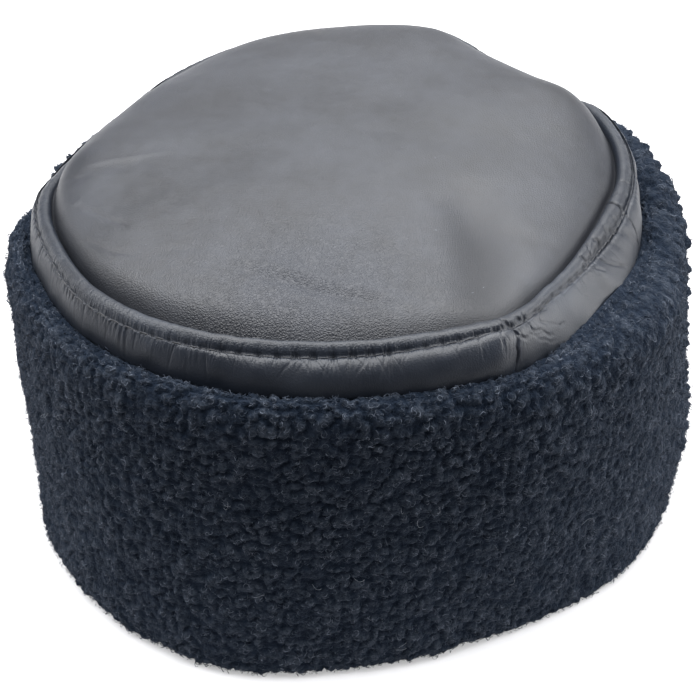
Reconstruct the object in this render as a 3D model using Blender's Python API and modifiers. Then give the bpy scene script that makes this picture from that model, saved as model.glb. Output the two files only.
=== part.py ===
"""A kubanka: a leather crown, puffed on top, in a tall band of curly sheepskin.

The hat stands on the lower edge of its band, as it would on a shelf. Sizes are metres, +Z is up, the front is
at -Y and the origin is the centre of the footprint. Every section is taken on a half plane through the upright
axis of the crown, at an azimuth in degrees from +X towards +Y, and each radius is measured from that axis.
"""

import math
from collections import namedtuple

import bmesh
import bpy
import numpy as np

# Heights above the shelf
RIM_HEIGHT = 0.118
WIDEST_HEIGHT = 0.104
FUR_CREST_HEIGHT = 0.107
FUR_SHOULDER_HEIGHT = 0.097
SKIRT_TOP_HEIGHT = 0.086
SKIRT_END_HEIGHT = 0.076

# Leather, and the gap it keeps from its neighbours
LEATHER = 0.0016
CLEARANCE = 0.00035

# The rolled seam: how far it rises above the rim, how deep it goes into the crown, and the line of stitches
ROLL_WIDTH = 0.0058
ROLL_RISE = 0.0016
ROLL_DEPTH = 0.0032
ROLL_EDGE = 0.0004
STITCH_DEPTH = 0.0014

# The wall: its puff under the stitches, its gathers, and how much thicker it is where it bends behind the fur
PUFF = 0.0018
GATHER_DEPTH = 0.0004
SKIRT_FULLNESS = 1.2

# The panel: how far it rises, how flat its middle and how full its edge is, its slope, and its turned out edge
DOME_RISE = 0.0200
DOME_FLATNESS = 3.4
DOME_FULLNESS = 0.50
DOME_LEAN = 0.055
EDGE_REACH = 6
FLANGE_LENGTH = 0.0032
FLANGE_DROP = 0.0004
GROOVE = 0.0006

# Sheepskin
BAND_THICKNESS = 0.0155
FUR_EDGE = 0.0050
CREST_SHARE = 0.45
LOCK_RELIEF = 0.0013
LOCK_VARIETY = 0.45
LOCK_SEED = 7

# Fineness of the meshes. A lock of fur or a gather of the leather takes two sections.
BAND_SECTIONS = 112
LOCK_ROWS = 7
CREST_TURNS = (30, 60, 90)
PANEL_SECTIONS = 56
PANEL_RINGS = (0.97, 0.92, 0.84, 0.72, 0.56, 0.38, 0.18)
ROLL_STEPS = ((0.3, 0.85), (0.6, 1.0), (0.85, 0.3))
SHOULDER_STEPS = (0.15, 0.35, 0.65, 1.0)
SKIRT_STEPS = (0.0, 0.5, 1.0)

# The leather wall's sections, closer together where it has folds
Span = namedtuple("Span", "start end sections")
WALL_SPANS = (
    Span(2, 286, 70),
    Span(286, 322, 26),
    Span(322, 328, 2),
    Span(328, 362, 22),
)

# The crown and the band at azimuths round the hat: the panel's seam and how far it lies above RIM_HEIGHT, the
# widest line of the leather wall, the fur's outside at its shoulder and near the shelf, and how steeply the
# panel rises from its seam, from 0, an even dome, to 1, a stuffed cushion
Station = namedtuple("Station", "azimuth seam lift wall fur_top fur_base steepness")
STATIONS = (
    Station(0, 0.0915, 0.0000, 0.0990, 0.1160, 0.1200, 0.60),
    Station(15, 0.0940, 0.0005, 0.1010, 0.1165, 0.1185, 0.80),
    Station(30, 0.0965, 0.0010, 0.1035, 0.1215, 0.1170, 0.85),
    Station(45, 0.0950, 0.0000, 0.1025, 0.1210, 0.1165, 0.95),
    Station(55, 0.0965, 0.0008, 0.1035, 0.1185, 0.1155, 1.00),
    Station(68, 0.1005, 0.0058, 0.1075, 0.1170, 0.1145, 1.00),
    Station(90, 0.0990, 0.0048, 0.1060, 0.1160, 0.1130, 1.00),
    Station(110, 0.0950, 0.0025, 0.1020, 0.1115, 0.1095, 1.00),
    Station(130, 0.0915, 0.0012, 0.0985, 0.1060, 0.1055, 1.10),
    Station(145, 0.0858, -0.0042, 0.0936, 0.1015, 0.1025, 1.35),
    Station(160, 0.0842, -0.0062, 0.0928, 0.1020, 0.1030, 1.55),
    Station(180, 0.0888, -0.0026, 0.0975, 0.1060, 0.1065, 1.60),
    Station(195, 0.0925, -0.0004, 0.1005, 0.1090, 0.1075, 1.15),
    Station(210, 0.0950, 0.0000, 0.1020, 0.1110, 0.1095, 0.80),
    Station(225, 0.0973, 0.0000, 0.1045, 0.1130, 0.1135, 0.80),
    Station(240, 0.0978, 0.0000, 0.1050, 0.1135, 0.1145, 0.70),
    Station(255, 0.0965, 0.0000, 0.1035, 0.1130, 0.1140, 0.55),
    Station(270, 0.0952, 0.0000, 0.1020, 0.1115, 0.1095, 0.45),
    Station(285, 0.0945, 0.0000, 0.1015, 0.1115, 0.1075, 0.40),
    Station(293, 0.0948, 0.0000, 0.1022, 0.1125, 0.1068, 0.40),
    Station(300, 0.0958, 0.0000, 0.1036, 0.1145, 0.1073, 0.40),
    Station(306, 0.0938, 0.0000, 0.1034, 0.1152, 0.1085, 0.42),
    Station(312, 0.0910, 0.0000, 0.1030, 0.1160, 0.1100, 0.45),
    Station(330, 0.0873, 0.0000, 0.1025, 0.1185, 0.1170, 0.50),
    Station(345, 0.0888, 0.0000, 0.1000, 0.1170, 0.1190, 0.55),
)

# Folds of the leather wall under the stitches: where they start, how they lean towards the fur, and their size
Fold = namedtuple("Fold", "azimuth lean width depth")
FOLDS = (
    Fold(292, -2, 1.7, 0.0009),
    Fold(297, 1, 1.6, 0.0013),
    Fold(302, 6, 2.0, 0.0026),
    Fold(307, 12, 1.7, 0.0014),
    Fold(312, 18, 1.8, 0.0011),
    Fold(334, 0, 1.8, 0.0016),
    Fold(341, -1, 1.7, 0.0009),
    Fold(349, -2, 1.7, 0.0011),
    Fold(357, 0, 2.0, 0.0020),
)

# Soft dents in the panel, from the crown's axis: middle, direction, half sizes along and across, and depth
Dent = namedtuple("Dent", "x y direction along across depth")
DENTS = (
    Dent(0.031, -0.030, 95, 0.045, 0.009, 0.0013),
    Dent(-0.045, -0.030, -28, 0.035, 0.007, 0.0007),
    Dent(-0.070, 0.030, 5, 0.022, 0.006, 0.0010),
    Dent(0.066, -0.020, 70, 0.030, 0.012, 0.0012),
    Dent(0.030, 0.075, 15, 0.022, 0.010, 0.0010),
    Dent(-0.068, 0.048, 125, 0.030, 0.014, -0.0018),
)

# Looks
Finish = namedtuple("Finish", "name colour roughness")
PANEL_LEATHER = Finish("black nappa leather, panel", (0.030, 0.031, 0.034), 0.42)
WALL_LEATHER = Finish("black nappa leather, wall", (0.026, 0.027, 0.031), 0.45)
SHEEPSKIN = Finish("black curly sheepskin", (0.006, 0.007, 0.010), 0.85)


def around(column, azimuths):
    """One column of STATIONS at these azimuths, on a smooth closed curve through its rows."""
    knots = np.array([station.azimuth for station in STATIONS], float)
    values = np.array([getattr(station, column) for station in STATIONS])
    spans = (np.roll(knots, -1) - knots) % 360
    slopes = (np.roll(values, -1) - np.roll(values, 1)) / (spans + np.roll(spans, 1))
    turned = np.asarray(azimuths, float) % 360
    start = np.searchsorted(knots, turned, side="right") - 1
    end = (start + 1) % len(knots)
    t = (turned - knots[start]) / spans[start]
    return (
        values[start] * (1 + 2 * t) * (1 - t) ** 2
        + slopes[start] * spans[start] * t * (1 - t) ** 2
        + values[end] * t**2 * (3 - 2 * t)
        + slopes[end] * spans[start] * t**2 * (t - 1)
    )


def even_azimuths(sections):
    return np.arange(sections) * 360.0 / sections


def wall_azimuths():
    """The azimuths of the leather wall's sections, from WALL_SPANS."""
    starts = [np.linspace(span.start, span.end, span.sections, endpoint=False) for span in WALL_SPANS]
    return np.concatenate(starts)


def footprint_middle():
    """The middle of the fur's outline, seen from the crown's axis."""
    azimuths = even_azimuths(360)
    radius = around("fur_top", azimuths)
    x = radius * np.cos(np.radians(azimuths))
    y = radius * np.sin(np.radians(azimuths))
    return (x.max() + x.min()) / 2, (y.max() + y.min()) / 2


def points_at(azimuths, radius, height):
    """World points at these azimuths, with the footprint's middle at the origin."""
    middle_x, middle_y = footprint_middle()
    turn = np.radians(azimuths)
    height = np.broadcast_to(height, turn.shape)
    return np.stack([radius * np.cos(turn) - middle_x, radius * np.sin(turn) - middle_y, height], axis=1)


def skin_mesh(name, rings, closed, centre=None):
    """A mesh through rings of points, whose last ring meets the first when closed, or ends in a centre point."""
    mesh = bpy.data.meshes.new(name)
    shell = bmesh.new()
    rows = [[shell.verts.new(point) for point in ring] for ring in rings]
    pairs = list(zip(rows, rows[1:]))
    if closed:
        pairs.append((rows[-1], rows[0]))
    for near, far in pairs:
        for i in range(len(near)):
            j = (i + 1) % len(near)
            shell.faces.new((near[i], near[j], far[j], far[i]))
    if centre is not None:
        hub = shell.verts.new(centre)
        last = rows[-1]
        for i in range(len(last)):
            shell.faces.new((last[i], last[(i + 1) % len(last)], hub))
    bmesh.ops.recalc_face_normals(shell, faces=shell.faces)
    shell.to_mesh(mesh)
    shell.free()
    mesh.shade_smooth()
    return mesh


def fold_relief(azimuths, down):
    """How far folds and gathers draw the wall in, from the stitches, 0, to its widest line, 1, where they end."""
    if down == 1:
        return np.zeros(len(azimuths))
    relief = GATHER_DEPTH * (np.arange(len(azimuths)) % 2)
    for fold in FOLDS:
        away = (azimuths - fold.azimuth - fold.lean * down + 180) % 360 - 180
        relief = relief + fold.depth * np.exp(-((away / fold.width) ** 2))
    return relief * math.sin(math.pi * (1 + 3 * down) / 4)


def inner_face(azimuths):
    """The band's inside, where the head goes: hide and pile are equally thick all round."""
    return around("fur_base", azimuths) - BAND_THICKNESS


def skirt_radius(azimuths, down):
    """The outside of the hidden skirt, from the wall's widest line, 0, to the band's inner face, 1."""
    widest = around("wall", azimuths)
    ease = down * down * (3 - 2 * down)
    return widest + (inner_face(azimuths) - CLEARANCE - widest) * ease


def skirt_height(down):
    return WIDEST_HEIGHT + (SKIRT_TOP_HEIGHT - WIDEST_HEIGHT) * down


def shoulder(azimuths, down, inset=0.0):
    """The wall from the stitches, 0, to its widest line, 1, as (radius, height), with the puff under the stitches."""
    stitch = around("seam", azimuths) + ROLL_WIDTH
    top = RIM_HEIGHT + around("lift", azimuths) - STITCH_DEPTH
    turn = math.pi / 2 * down
    puff = PUFF * math.sin(math.pi * math.sqrt(down)) - inset - fold_relief(azimuths, down)
    radius = stitch + (around("wall", azimuths) - stitch) * math.sin(turn) + puff * math.sin(turn)
    height = WIDEST_HEIGHT + (top - WIDEST_HEIGHT) * math.cos(turn) + puff * math.cos(turn)
    return radius, height


def wall_rings(azimuths):
    """The closed section of the side wall: the roll, the stitches, the shoulder, the skirt, and back up inside."""
    seam = around("seam", azimuths)
    rim = RIM_HEIGHT + around("lift", azimuths)
    rings = [(seam + ROLL_EDGE, rim - ROLL_DEPTH), (seam + ROLL_EDGE, rim - ROLL_EDGE)]
    rings += [(seam + across * ROLL_WIDTH, rim + rise * ROLL_RISE) for across, rise in ROLL_STEPS]
    rings += [(seam + ROLL_WIDTH, rim - STITCH_DEPTH)]
    rings += [shoulder(azimuths, down) for down in SHOULDER_STEPS]
    rings += [(skirt_radius(azimuths, down), skirt_height(down)) for down in SKIRT_STEPS[1:]]
    skirt = skirt_radius(azimuths, 1.0)
    rings += [(skirt, SKIRT_END_HEIGHT), (skirt - LEATHER, SKIRT_END_HEIGHT)]
    inside = SKIRT_FULLNESS * LEATHER
    rings += [(skirt_radius(azimuths, down) - inside, skirt_height(down)) for down in SKIRT_STEPS[:0:-1]]
    rings += [shoulder(azimuths, down, inset=LEATHER) for down in SHOULDER_STEPS[:0:-2]]
    rings += [(seam + ROLL_WIDTH - LEATHER, rim - ROLL_DEPTH)]
    return [points_at(azimuths, radius, height) for radius, height in rings]


def dent_depth(x, y):
    depth = np.zeros_like(x)
    for dent in DENTS:
        turn = math.radians(dent.direction)
        along = (x - dent.x) * math.cos(turn) + (y - dent.y) * math.sin(turn)
        across = (y - dent.y) * math.cos(turn) - (x - dent.x) * math.sin(turn)
        depth += dent.depth * np.exp(-((along / dent.along) ** 2) - (across / dent.across) ** 2)
    return depth


def dome_height(azimuths, share):
    """The panel's height at a share of the way from the crown's axis to the seam."""
    seam = around("seam", azimuths)
    edge = share**EDGE_REACH
    floor = RIM_HEIGHT + around("lift", azimuths) * edge - ROLL_DEPTH
    steepness = around("steepness", azimuths)
    cushion = (1 - share**DOME_FLATNESS) ** DOME_FULLNESS
    puffed = DOME_RISE * (steepness * cushion + (1 - steepness) * (1 - share**2))
    turn = np.radians(azimuths)
    x = share * seam * np.cos(turn)
    y = share * seam * np.sin(turn)
    return floor + puffed + (DOME_LEAN * y - dent_depth(x, y)) * (1 - edge)


def panel_rings(azimuths):
    """The top face of the panel, from the hidden edge under the roll to the last ring before the axis."""
    seam = around("seam", azimuths)
    flange = RIM_HEIGHT + around("lift", azimuths) - ROLL_DEPTH - CLEARANCE
    rings = [(seam + FLANGE_LENGTH, flange - FLANGE_DROP), (seam - GROOVE, flange)]
    rings += [(share * seam, dome_height(azimuths, share)) for share in PANEL_RINGS]
    return [points_at(azimuths, radius, height) for radius, height in rings]


def lock_relief(columns, rows):
    """Heights of the fur's locks above its skin: a peak in each lock, staggered row by row, and grooves between."""
    chance = np.random.default_rng(LOCK_SEED)
    column, row = np.meshgrid(np.arange(columns), np.arange(rows))
    peak = (row % 2 == 1) & ((column + row // 2) % 2 == 0)
    variety = 1 + LOCK_VARIETY * chance.uniform(-1, 1, (rows, columns))
    groove = -0.5 * chance.uniform(0.5, 1, (rows, columns))
    return LOCK_RELIEF * np.where(peak, variety, groove)


def band_rings(azimuths):
    """The closed section of the band: underside, curly outside, crest, the seat of the leather, and inner face."""
    base = around("fur_base", azimuths)
    top = around("fur_top", azimuths)
    wall = around("wall", azimuths)
    crest = wall + CREST_SHARE * (top - wall)
    inner = inner_face(azimuths)
    outside = 2 * LOCK_ROWS + 1
    relief = lock_relief(len(azimuths), outside + len(CREST_TURNS))
    rings = [(inner, 0.0), (base - FUR_EDGE, 0.0), (base - 0.25 * FUR_EDGE, 0.35 * FUR_EDGE)]
    for row in range(outside):
        up = row / (outside - 1)
        height = FUR_EDGE + (FUR_SHOULDER_HEIGHT - FUR_EDGE) * up
        rings.append((base + (top - base) * math.sin(math.pi / 2 * up) + relief[row], height))
    for row, turn in enumerate(CREST_TURNS, outside):
        across, rise = math.cos(math.radians(turn)), math.sin(math.radians(turn))
        rings.append(
            (
                crest + (top - crest + relief[row]) * across,
                FUR_SHOULDER_HEIGHT + (FUR_CREST_HEIGHT - FUR_SHOULDER_HEIGHT + relief[row]) * rise,
            )
        )
    rings += [(skirt_radius(azimuths, down) + CLEARANCE, skirt_height(down)) for down in SKIRT_STEPS]
    rings.append((inner, SKIRT_TOP_HEIGHT / 2))
    return [points_at(azimuths, radius, height) for radius, height in rings]


def principled(finish):
    material = bpy.data.materials.new(finish.name)
    material.use_nodes = True
    shader = material.node_tree.nodes["Principled BSDF"]
    shader.inputs["Base Color"].default_value = (*finish.colour, 1.0)
    shader.inputs["Roughness"].default_value = finish.roughness
    shader.inputs["Metallic"].default_value = 0.0
    return material


def placed(name, mesh, finish, collection):
    piece = bpy.data.objects.new(name, mesh)
    piece.data.materials.append(principled(finish))
    collection.objects.link(piece)
    return piece


def make_top_panel(collection):
    """The puffed panel: an open face, thickened downwards to the leather."""
    azimuths = even_azimuths(PANEL_SECTIONS)
    middle_x, middle_y = footprint_middle()
    summit = float(dome_height(azimuths[:1], 0.0)[0])
    mesh = skin_mesh("top_panel", panel_rings(azimuths), closed=False, centre=(-middle_x, -middle_y, summit))
    panel = placed("top_panel", mesh, PANEL_LEATHER, collection)
    thicken = panel.modifiers.new("leather", "SOLIDIFY")
    thicken.thickness = LEATHER
    thicken.offset = -1.0
    thicken.use_even_offset = True
    return panel


def make_side_wall(collection):
    """The strip of leather round the crown, with its rolled seam and its skirt behind the fur."""
    mesh = skin_mesh("side_wall", wall_rings(wall_azimuths()), closed=True)
    return placed("side_wall", mesh, WALL_LEATHER, collection)


def make_fur_band(collection):
    """The ring of hide and pile, with its locks fused to it."""
    mesh = skin_mesh("fur_band", band_rings(even_azimuths(BAND_SECTIONS)), closed=True)
    return placed("fur_band", mesh, SHEEPSKIN, collection)


def main():
    for old in list(bpy.data.objects):
        bpy.data.objects.remove(old, do_unlink=True)
    kubanka = bpy.data.collections.new("kubanka")
    bpy.context.scene.collection.children.link(kubanka)
    make_top_panel(kubanka)
    make_side_wall(kubanka)
    make_fur_band(kubanka)


main()
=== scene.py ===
"""The looks of a kubanka: a puffed black leather crown in a tall band of black curly sheepskin.

Lengths in this file are millimetres and angles are degrees, unless a name says otherwise; meshes, the camera and
the lights get metres. The crown is described on half planes through its upright axis, at azimuths from +X
towards +Y, as in the solids, and the front of the hat faces -Y.
"""

import logging
import math
from dataclasses import dataclass
from enum import Enum
from typing import NamedTuple

import bpy
import numpy as np
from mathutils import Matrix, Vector


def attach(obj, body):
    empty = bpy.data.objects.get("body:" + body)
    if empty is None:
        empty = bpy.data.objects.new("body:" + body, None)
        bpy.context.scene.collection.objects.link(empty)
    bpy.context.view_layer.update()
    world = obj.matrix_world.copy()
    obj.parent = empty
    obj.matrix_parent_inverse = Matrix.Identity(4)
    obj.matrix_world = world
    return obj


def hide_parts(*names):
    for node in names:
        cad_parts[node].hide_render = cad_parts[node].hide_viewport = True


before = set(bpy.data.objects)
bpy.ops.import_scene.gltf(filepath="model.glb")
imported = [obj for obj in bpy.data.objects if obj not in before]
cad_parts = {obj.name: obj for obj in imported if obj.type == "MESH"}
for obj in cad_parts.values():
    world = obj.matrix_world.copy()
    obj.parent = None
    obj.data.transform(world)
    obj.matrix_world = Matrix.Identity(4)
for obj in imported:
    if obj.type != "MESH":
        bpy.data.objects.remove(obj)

LOG = logging.getLogger("kubanka")
MM = 0.001
BODY = "root"
NOISE_CELLS = 1024


class Slot(Enum):
    """The record's material slots."""

    PANEL = "panel_leather"
    WALL = "wall_leather"
    SHEEPSKIN = "sheepskin"


class Node(Enum):
    """The solids that the pieces of this scene stand for."""

    PANEL = "top_panel"
    WALL = "side_wall"
    BAND = "fur_band"


# Shape of the hat


class Station(NamedTuple):
    """The hat at one azimuth: the panel's seam, how far it lies above the rim, how wide the rolled seam is, the
    widest line of the leather wall, the fur at its shoulder and near the shelf, how steeply the panel rises from
    its seam, and how near the seam that rise ends."""

    azimuth: float
    seam: float
    lift: float
    width: float
    wall: float
    fur_top: float
    fur_base: float
    steepness: float
    brink: float


STATIONS = (
    Station(0, 91.8, 0.0, 5.6, 99.0, 116.0, 120.0, 0.5, 6.0),
    Station(15, 95.4, 0.5, 5.6, 101.0, 116.5, 118.5, 0.66, 9.0),
    Station(28, 97.3, 0.6, 5.8, 103.0, 121.5, 117.0, 0.77, 10.0),
    Station(37, 96.2, -2.2, 5.8, 102.0, 121.3, 116.8, 0.77, 10.0),
    Station(46, 95.6, -1.2, 5.8, 101.8, 121.0, 116.5, 0.73, 10.0),
    Station(55, 96.8, 0.8, 5.8, 103.0, 118.5, 115.5, 0.74, 9.0),
    Station(68, 100.7, 5.8, 5.8, 107.5, 117.0, 114.5, 0.79, 7.0),
    Station(90, 99.0, 4.8, 5.8, 106.0, 116.0, 113.0, 0.8, 5.0),
    Station(110, 95.5, 2.9, 5.8, 102.2, 111.5, 109.5, 0.78, 5.0),
    Station(130, 90.5, -0.6, 5.8, 96.6, 106.0, 105.5, 0.7, 6.0),
    Station(145, 86.6, -3.8, 5.8, 92.9, 101.5, 102.5, 0.84, 8.0),
    Station(160, 86.6, -4.8, 5.8, 92.6, 102.0, 103.0, 0.8, 10.0),
    Station(175, 88.8, -4.0, 5.8, 93.8, 105.0, 105.6, 0.88, 12.0),
    Station(185, 91.2, -1.6, 5.6, 97.4, 107.0, 106.8, 0.9, 12.0),
    Station(195, 92.6, -0.4, 5.2, 100.5, 109.0, 107.5, 0.78, 11.0),
    Station(210, 94.0, 0.0, 5.2, 102.0, 111.0, 109.5, 0.7, 8.0),
    Station(225, 97.0, 0.0, 5.8, 104.5, 113.0, 113.5, 0.7, 5.0),
    Station(240, 97.6, 0.0, 5.2, 105.0, 113.5, 114.5, 0.65, 4.0),
    Station(255, 96.2, 0.0, 4.7, 103.5, 113.0, 114.0, 0.55, 3.4),
    Station(270, 94.9, 0.0, 4.4, 102.0, 111.5, 109.5, 0.45, 3.4),
    Station(285, 94.2, 0.0, 4.8, 101.5, 111.5, 107.5, 0.4, 3.4),
    Station(293, 94.6, 0.0, 5.3, 102.2, 112.5, 106.8, 0.4, 3.4),
    Station(300, 95.6, 0.0, 5.4, 103.6, 114.5, 107.3, 0.4, 3.4),
    Station(306, 94.0, 0.0, 4.6, 103.4, 115.2, 108.5, 0.42, 3.4),
    Station(312, 91.3, 0.0, 4.0, 103.0, 116.0, 110.0, 0.45, 3.4),
    Station(330, 87.0, 0.0, 5.2, 102.5, 118.5, 117.0, 0.5, 4.0),
    Station(345, 87.4, 0.0, 6.4, 100.0, 117.0, 119.0, 0.52, 5.0),
)


def turned_away(azimuths: np.ndarray, middle: float) -> np.ndarray:
    """Signed degrees from an azimuth to others, from -180 to 180."""
    return (azimuths - middle + 180.0) % 360.0 - 180.0


def bell(distance: np.ndarray, width: float | np.ndarray) -> np.ndarray:
    """A smooth bump, 1 in its middle."""
    return np.exp(-((distance / width) ** 2))


def ease(share: np.ndarray | float) -> np.ndarray | float:
    """A smooth step from 0 to 1."""
    share = np.clip(share, 0.0, 1.0)
    return share * share * (3.0 - 2.0 * share)


class Zone(NamedTuple):
    """A stretch round the hat where something changes: its middle azimuth, its half width in degrees, over which
    the change fades out, and how much of it there is in the middle."""

    azimuth: float
    width: float
    amount: float = 1.0


def zoned(azimuths: np.ndarray, *zones: Zone) -> np.ndarray:
    """What zones add up to at azimuths."""
    return sum(zone.amount * bell(turned_away(azimuths, zone.azimuth), zone.width) for zone in zones)


def smooth_curve(
    ends: tuple[np.ndarray, np.ndarray], slopes: tuple[np.ndarray, np.ndarray], span: np.ndarray | float, t: np.ndarray
) -> np.ndarray:
    """Reads a smooth curve between two knots.

    Args:
        ends: the values at both knots.
        slopes: the slopes there.
        span: the distance from one knot to the other.
        t: where to read it, as a share of the span.

    Returns:
        The curve's values at t.
    """
    return (
        ends[0] * (1 + 2 * t) * (1 - t) ** 2
        + slopes[0] * span * t * (1 - t) ** 2
        + ends[1] * t**2 * (3 - 2 * t)
        + slopes[1] * span * t**2 * (t - 1)
    )


def soft_noise(across: np.ndarray, along: np.ndarray, seed: int, wrap: int = 0) -> np.ndarray:
    """Smooth noise over a plane, in cells of one unit.

    Args:
        across: first coordinate of each point, in cells.
        along: second coordinate.
        seed: picks the noise.
        wrap: cells after which it repeats along the first coordinate, or 0.

    Returns:
        Values from -1 to 1.
    """
    table = np.random.default_rng(seed).uniform(-1.0, 1.0, (NOISE_CELLS, NOISE_CELLS))
    left, low = np.floor(across).astype(int), np.floor(along).astype(int)
    u, v = ease(across - left), ease(along - low)
    period = wrap or NOISE_CELLS
    left, right = left % period, (left + 1) % period
    lower, upper = low % NOISE_CELLS, (low + 1) % NOISE_CELLS
    bottom = table[left, lower] * (1 - u) + table[right, lower] * u
    top = table[left, upper] * (1 - u) + table[right, upper] * u
    return bottom * (1 - v) + top * v


class Ripple(NamedTuple):
    """Smooth unevenness of a surface: its height, the size of its waves across and along, where along it they
    start, its seed, and how many waves go round the hat."""

    height: float
    across: float
    along: float
    start: float
    seed: int
    around: int

    def at(self, across: np.ndarray, along: np.ndarray) -> np.ndarray:
        """Its height at points of the surface."""
        return self.height * soft_noise(across / self.across, along / self.along + self.start, self.seed, self.around)


@dataclass
class HatForm:
    """The form that all pieces share, the same as that of the solids. Its zones name where it departs from the
    even one: the front, the left, the corner at the right front and the right."""

    stations: tuple[Station, ...]

    # Heights above the shelf of the seam's rim, the wall's widest line, the pile's crest and its shoulder
    rim_height: float = 118.0
    widest_height: float = 104.0
    crest_height: float = 107.0
    shoulder_height: float = 97.0

    # How far below the rim the groove and the stitches lie, and where the stitches lie deeper or less deep
    roll_depth: float = 3.2
    stitch_depth: float = 1.4
    stitch_deeper: tuple[Zone, ...] = (Zone(260.0, 26.0, 0.7), Zone(300.0, 13.0, -1.26))

    # The panel: its rise, how full its cushion is, its slope to the rear, and how near the edge the lift is felt
    dome_rise: float = 20.0
    dome_fullness: float = 0.5
    dome_lean: float = 0.055
    edge_reach: int = 6

    # The wall's puff under the stitches, where it is calmer, and where it is plumper or thinner
    puff: float = 1.8
    least_puff: float = 0.12
    calmer: tuple[Zone, ...] = (Zone(276.0, 27.0, 0.8), Zone(217.0, 31.0, 0.8), Zone(317.0, 22.0, 0.85))
    plumper: tuple[Zone, ...] = (Zone(290.0, 10.0, 0.6), Zone(243.0, 13.0, -0.28))

    # The wall's section: where it slants straight down, where it bends sooner, where its widest line is higher,
    # and where it bulges out towards the pile's crest
    slanting: tuple[Zone, ...] = (Zone(317.0, 22.0, 0.85), Zone(217.0, 31.0, 0.85))
    most_slant: float = 0.92
    squarer: Zone = Zone(293.0, 9.0, 0.42)
    higher: tuple[Zone, ...] = (Zone(217.0, 31.0, 2.5), Zone(276.0, 27.0, 2.0))
    fuller: tuple[Zone, ...] = (Zone(276.0, 27.0, 0.8), Zone(293.0, 9.0, 0.4))

    # The band: its rounded foot, its thickness, and where between the leather and the outside the crest lies
    fur_edge: float = 5.0
    band_thickness: float = 15.5
    crest_share: float = 0.45
    crest_nearer: Zone = Zone(350.0, 26.0, 0.2)

    # The pile's lip beside the leather: its gap and its drop, and where it leans on the leather and is higher
    lip_gap: float = 0.6
    lip_drop: float = 3.2
    lip_leaning: tuple[Zone, ...] = (Zone(326.0, 18.0, 2.0), Zone(217.0, 31.0, 1.0))
    lip_higher: tuple[Zone, ...] = (Zone(326.0, 18.0, 5.5), Zone(217.0, 31.0, 1.8))

    # Lengths along the pile's section: its foot, its side, the turn over the crest, and the lip
    pile_lengths: tuple[float, ...] = (8.0, 92.0, 13.0, 7.0)

    def __post_init__(self) -> None:
        """Reads the stations and finds the middle of the footprint."""
        self.pile_run = sum(self.pile_lengths)
        self.columns = {
            name: np.array([getattr(station, name) for station in self.stations], float)
            for name in Station._fields
        }
        azimuths = np.arange(360.0)
        radius = self.around("fur_top", azimuths)
        x, y = radius * np.cos(np.radians(azimuths)), radius * np.sin(np.radians(azimuths))
        self.middle = ((x.max() + x.min()) / 2, (y.max() + y.min()) / 2)

    def around(self, column: str, azimuths: np.ndarray) -> np.ndarray:
        """One column of the stations, on a smooth closed curve through its rows.

        Args:
            column: a field of Station.
            azimuths: where to read it.

        Returns:
            Its values there.
        """
        knots, values = self.columns["azimuth"], self.columns[column]
        spans = (np.roll(knots, -1) - knots) % 360
        slopes = (np.roll(values, -1) - np.roll(values, 1)) / (spans + np.roll(spans, 1))
        turned = np.asarray(azimuths, float) % 360
        start = np.searchsorted(knots, turned, side="right") - 1
        end = (start + 1) % len(knots)
        t = (turned - knots[start]) / spans[start]
        return smooth_curve((values[start], values[end]), (slopes[start], slopes[end]), spans[start], t)

    def stitch_line(self, azimuths: np.ndarray) -> np.ndarray:
        """Radius of the stitches at the outer foot of the rolled seam."""
        return self.around("seam", azimuths) + self.around("width", azimuths)

    def rim(self, azimuths: np.ndarray) -> np.ndarray:
        """Height of the rolled seam's foot."""
        return self.rim_height + self.around("lift", azimuths)

    def stitch_drop(self, azimuths: np.ndarray) -> np.ndarray:
        """How far below the rim the stitches lie: deepest at the front, where the roll stands steep."""
        return self.stitch_depth + zoned(azimuths, *self.stitch_deeper)

    def crest(self, azimuths: np.ndarray) -> np.ndarray:
        """Radius of the pile's crest, which leans on the leather at the right.

        Args:
            azimuths: where to read it.

        Returns:
            The radii there.
        """
        wall = self.around("wall", azimuths)
        share = self.crest_share - zoned(azimuths, self.crest_nearer)
        return wall + share * (self.around("fur_top", azimuths) - wall)

    def place(self, azimuths: np.ndarray, radius: np.ndarray, height: np.ndarray) -> np.ndarray:
        """Turns places on the hat into points of the scene, whose origin is the middle of the footprint.

        Args:
            azimuths: where they are round the crown's axis.
            radius: how far from it.
            height: and how high above the shelf.

        Returns:
            The points, in millimetres, stacked on a last axis.
        """
        turn = np.radians(azimuths)
        x = radius * np.cos(turn) - self.middle[0]
        y = radius * np.sin(turn) - self.middle[1]
        return np.stack(np.broadcast_arrays(x, y, height), axis=-1)

    def dome(self, azimuths: np.ndarray, share: np.ndarray) -> np.ndarray:
        """The panel without its creases.

        Args:
            azimuths: where its section is taken.
            share: of the way from the axis to the seam.

        Returns:
            Its height there.
        """
        edge = share**self.edge_reach
        cushion = (1 - share ** self.around("brink", azimuths)) ** self.dome_fullness
        steepness = self.around("steepness", azimuths)
        y = share * self.around("seam", azimuths) * np.sin(np.radians(azimuths))
        puffed = self.dome_rise * (steepness * cushion + (1 - steepness) * (1 - share**2))
        floor = self.rim_height + self.around("lift", azimuths) * edge - self.roll_depth
        return floor + puffed + self.dome_lean * y * (1 - edge)

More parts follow.
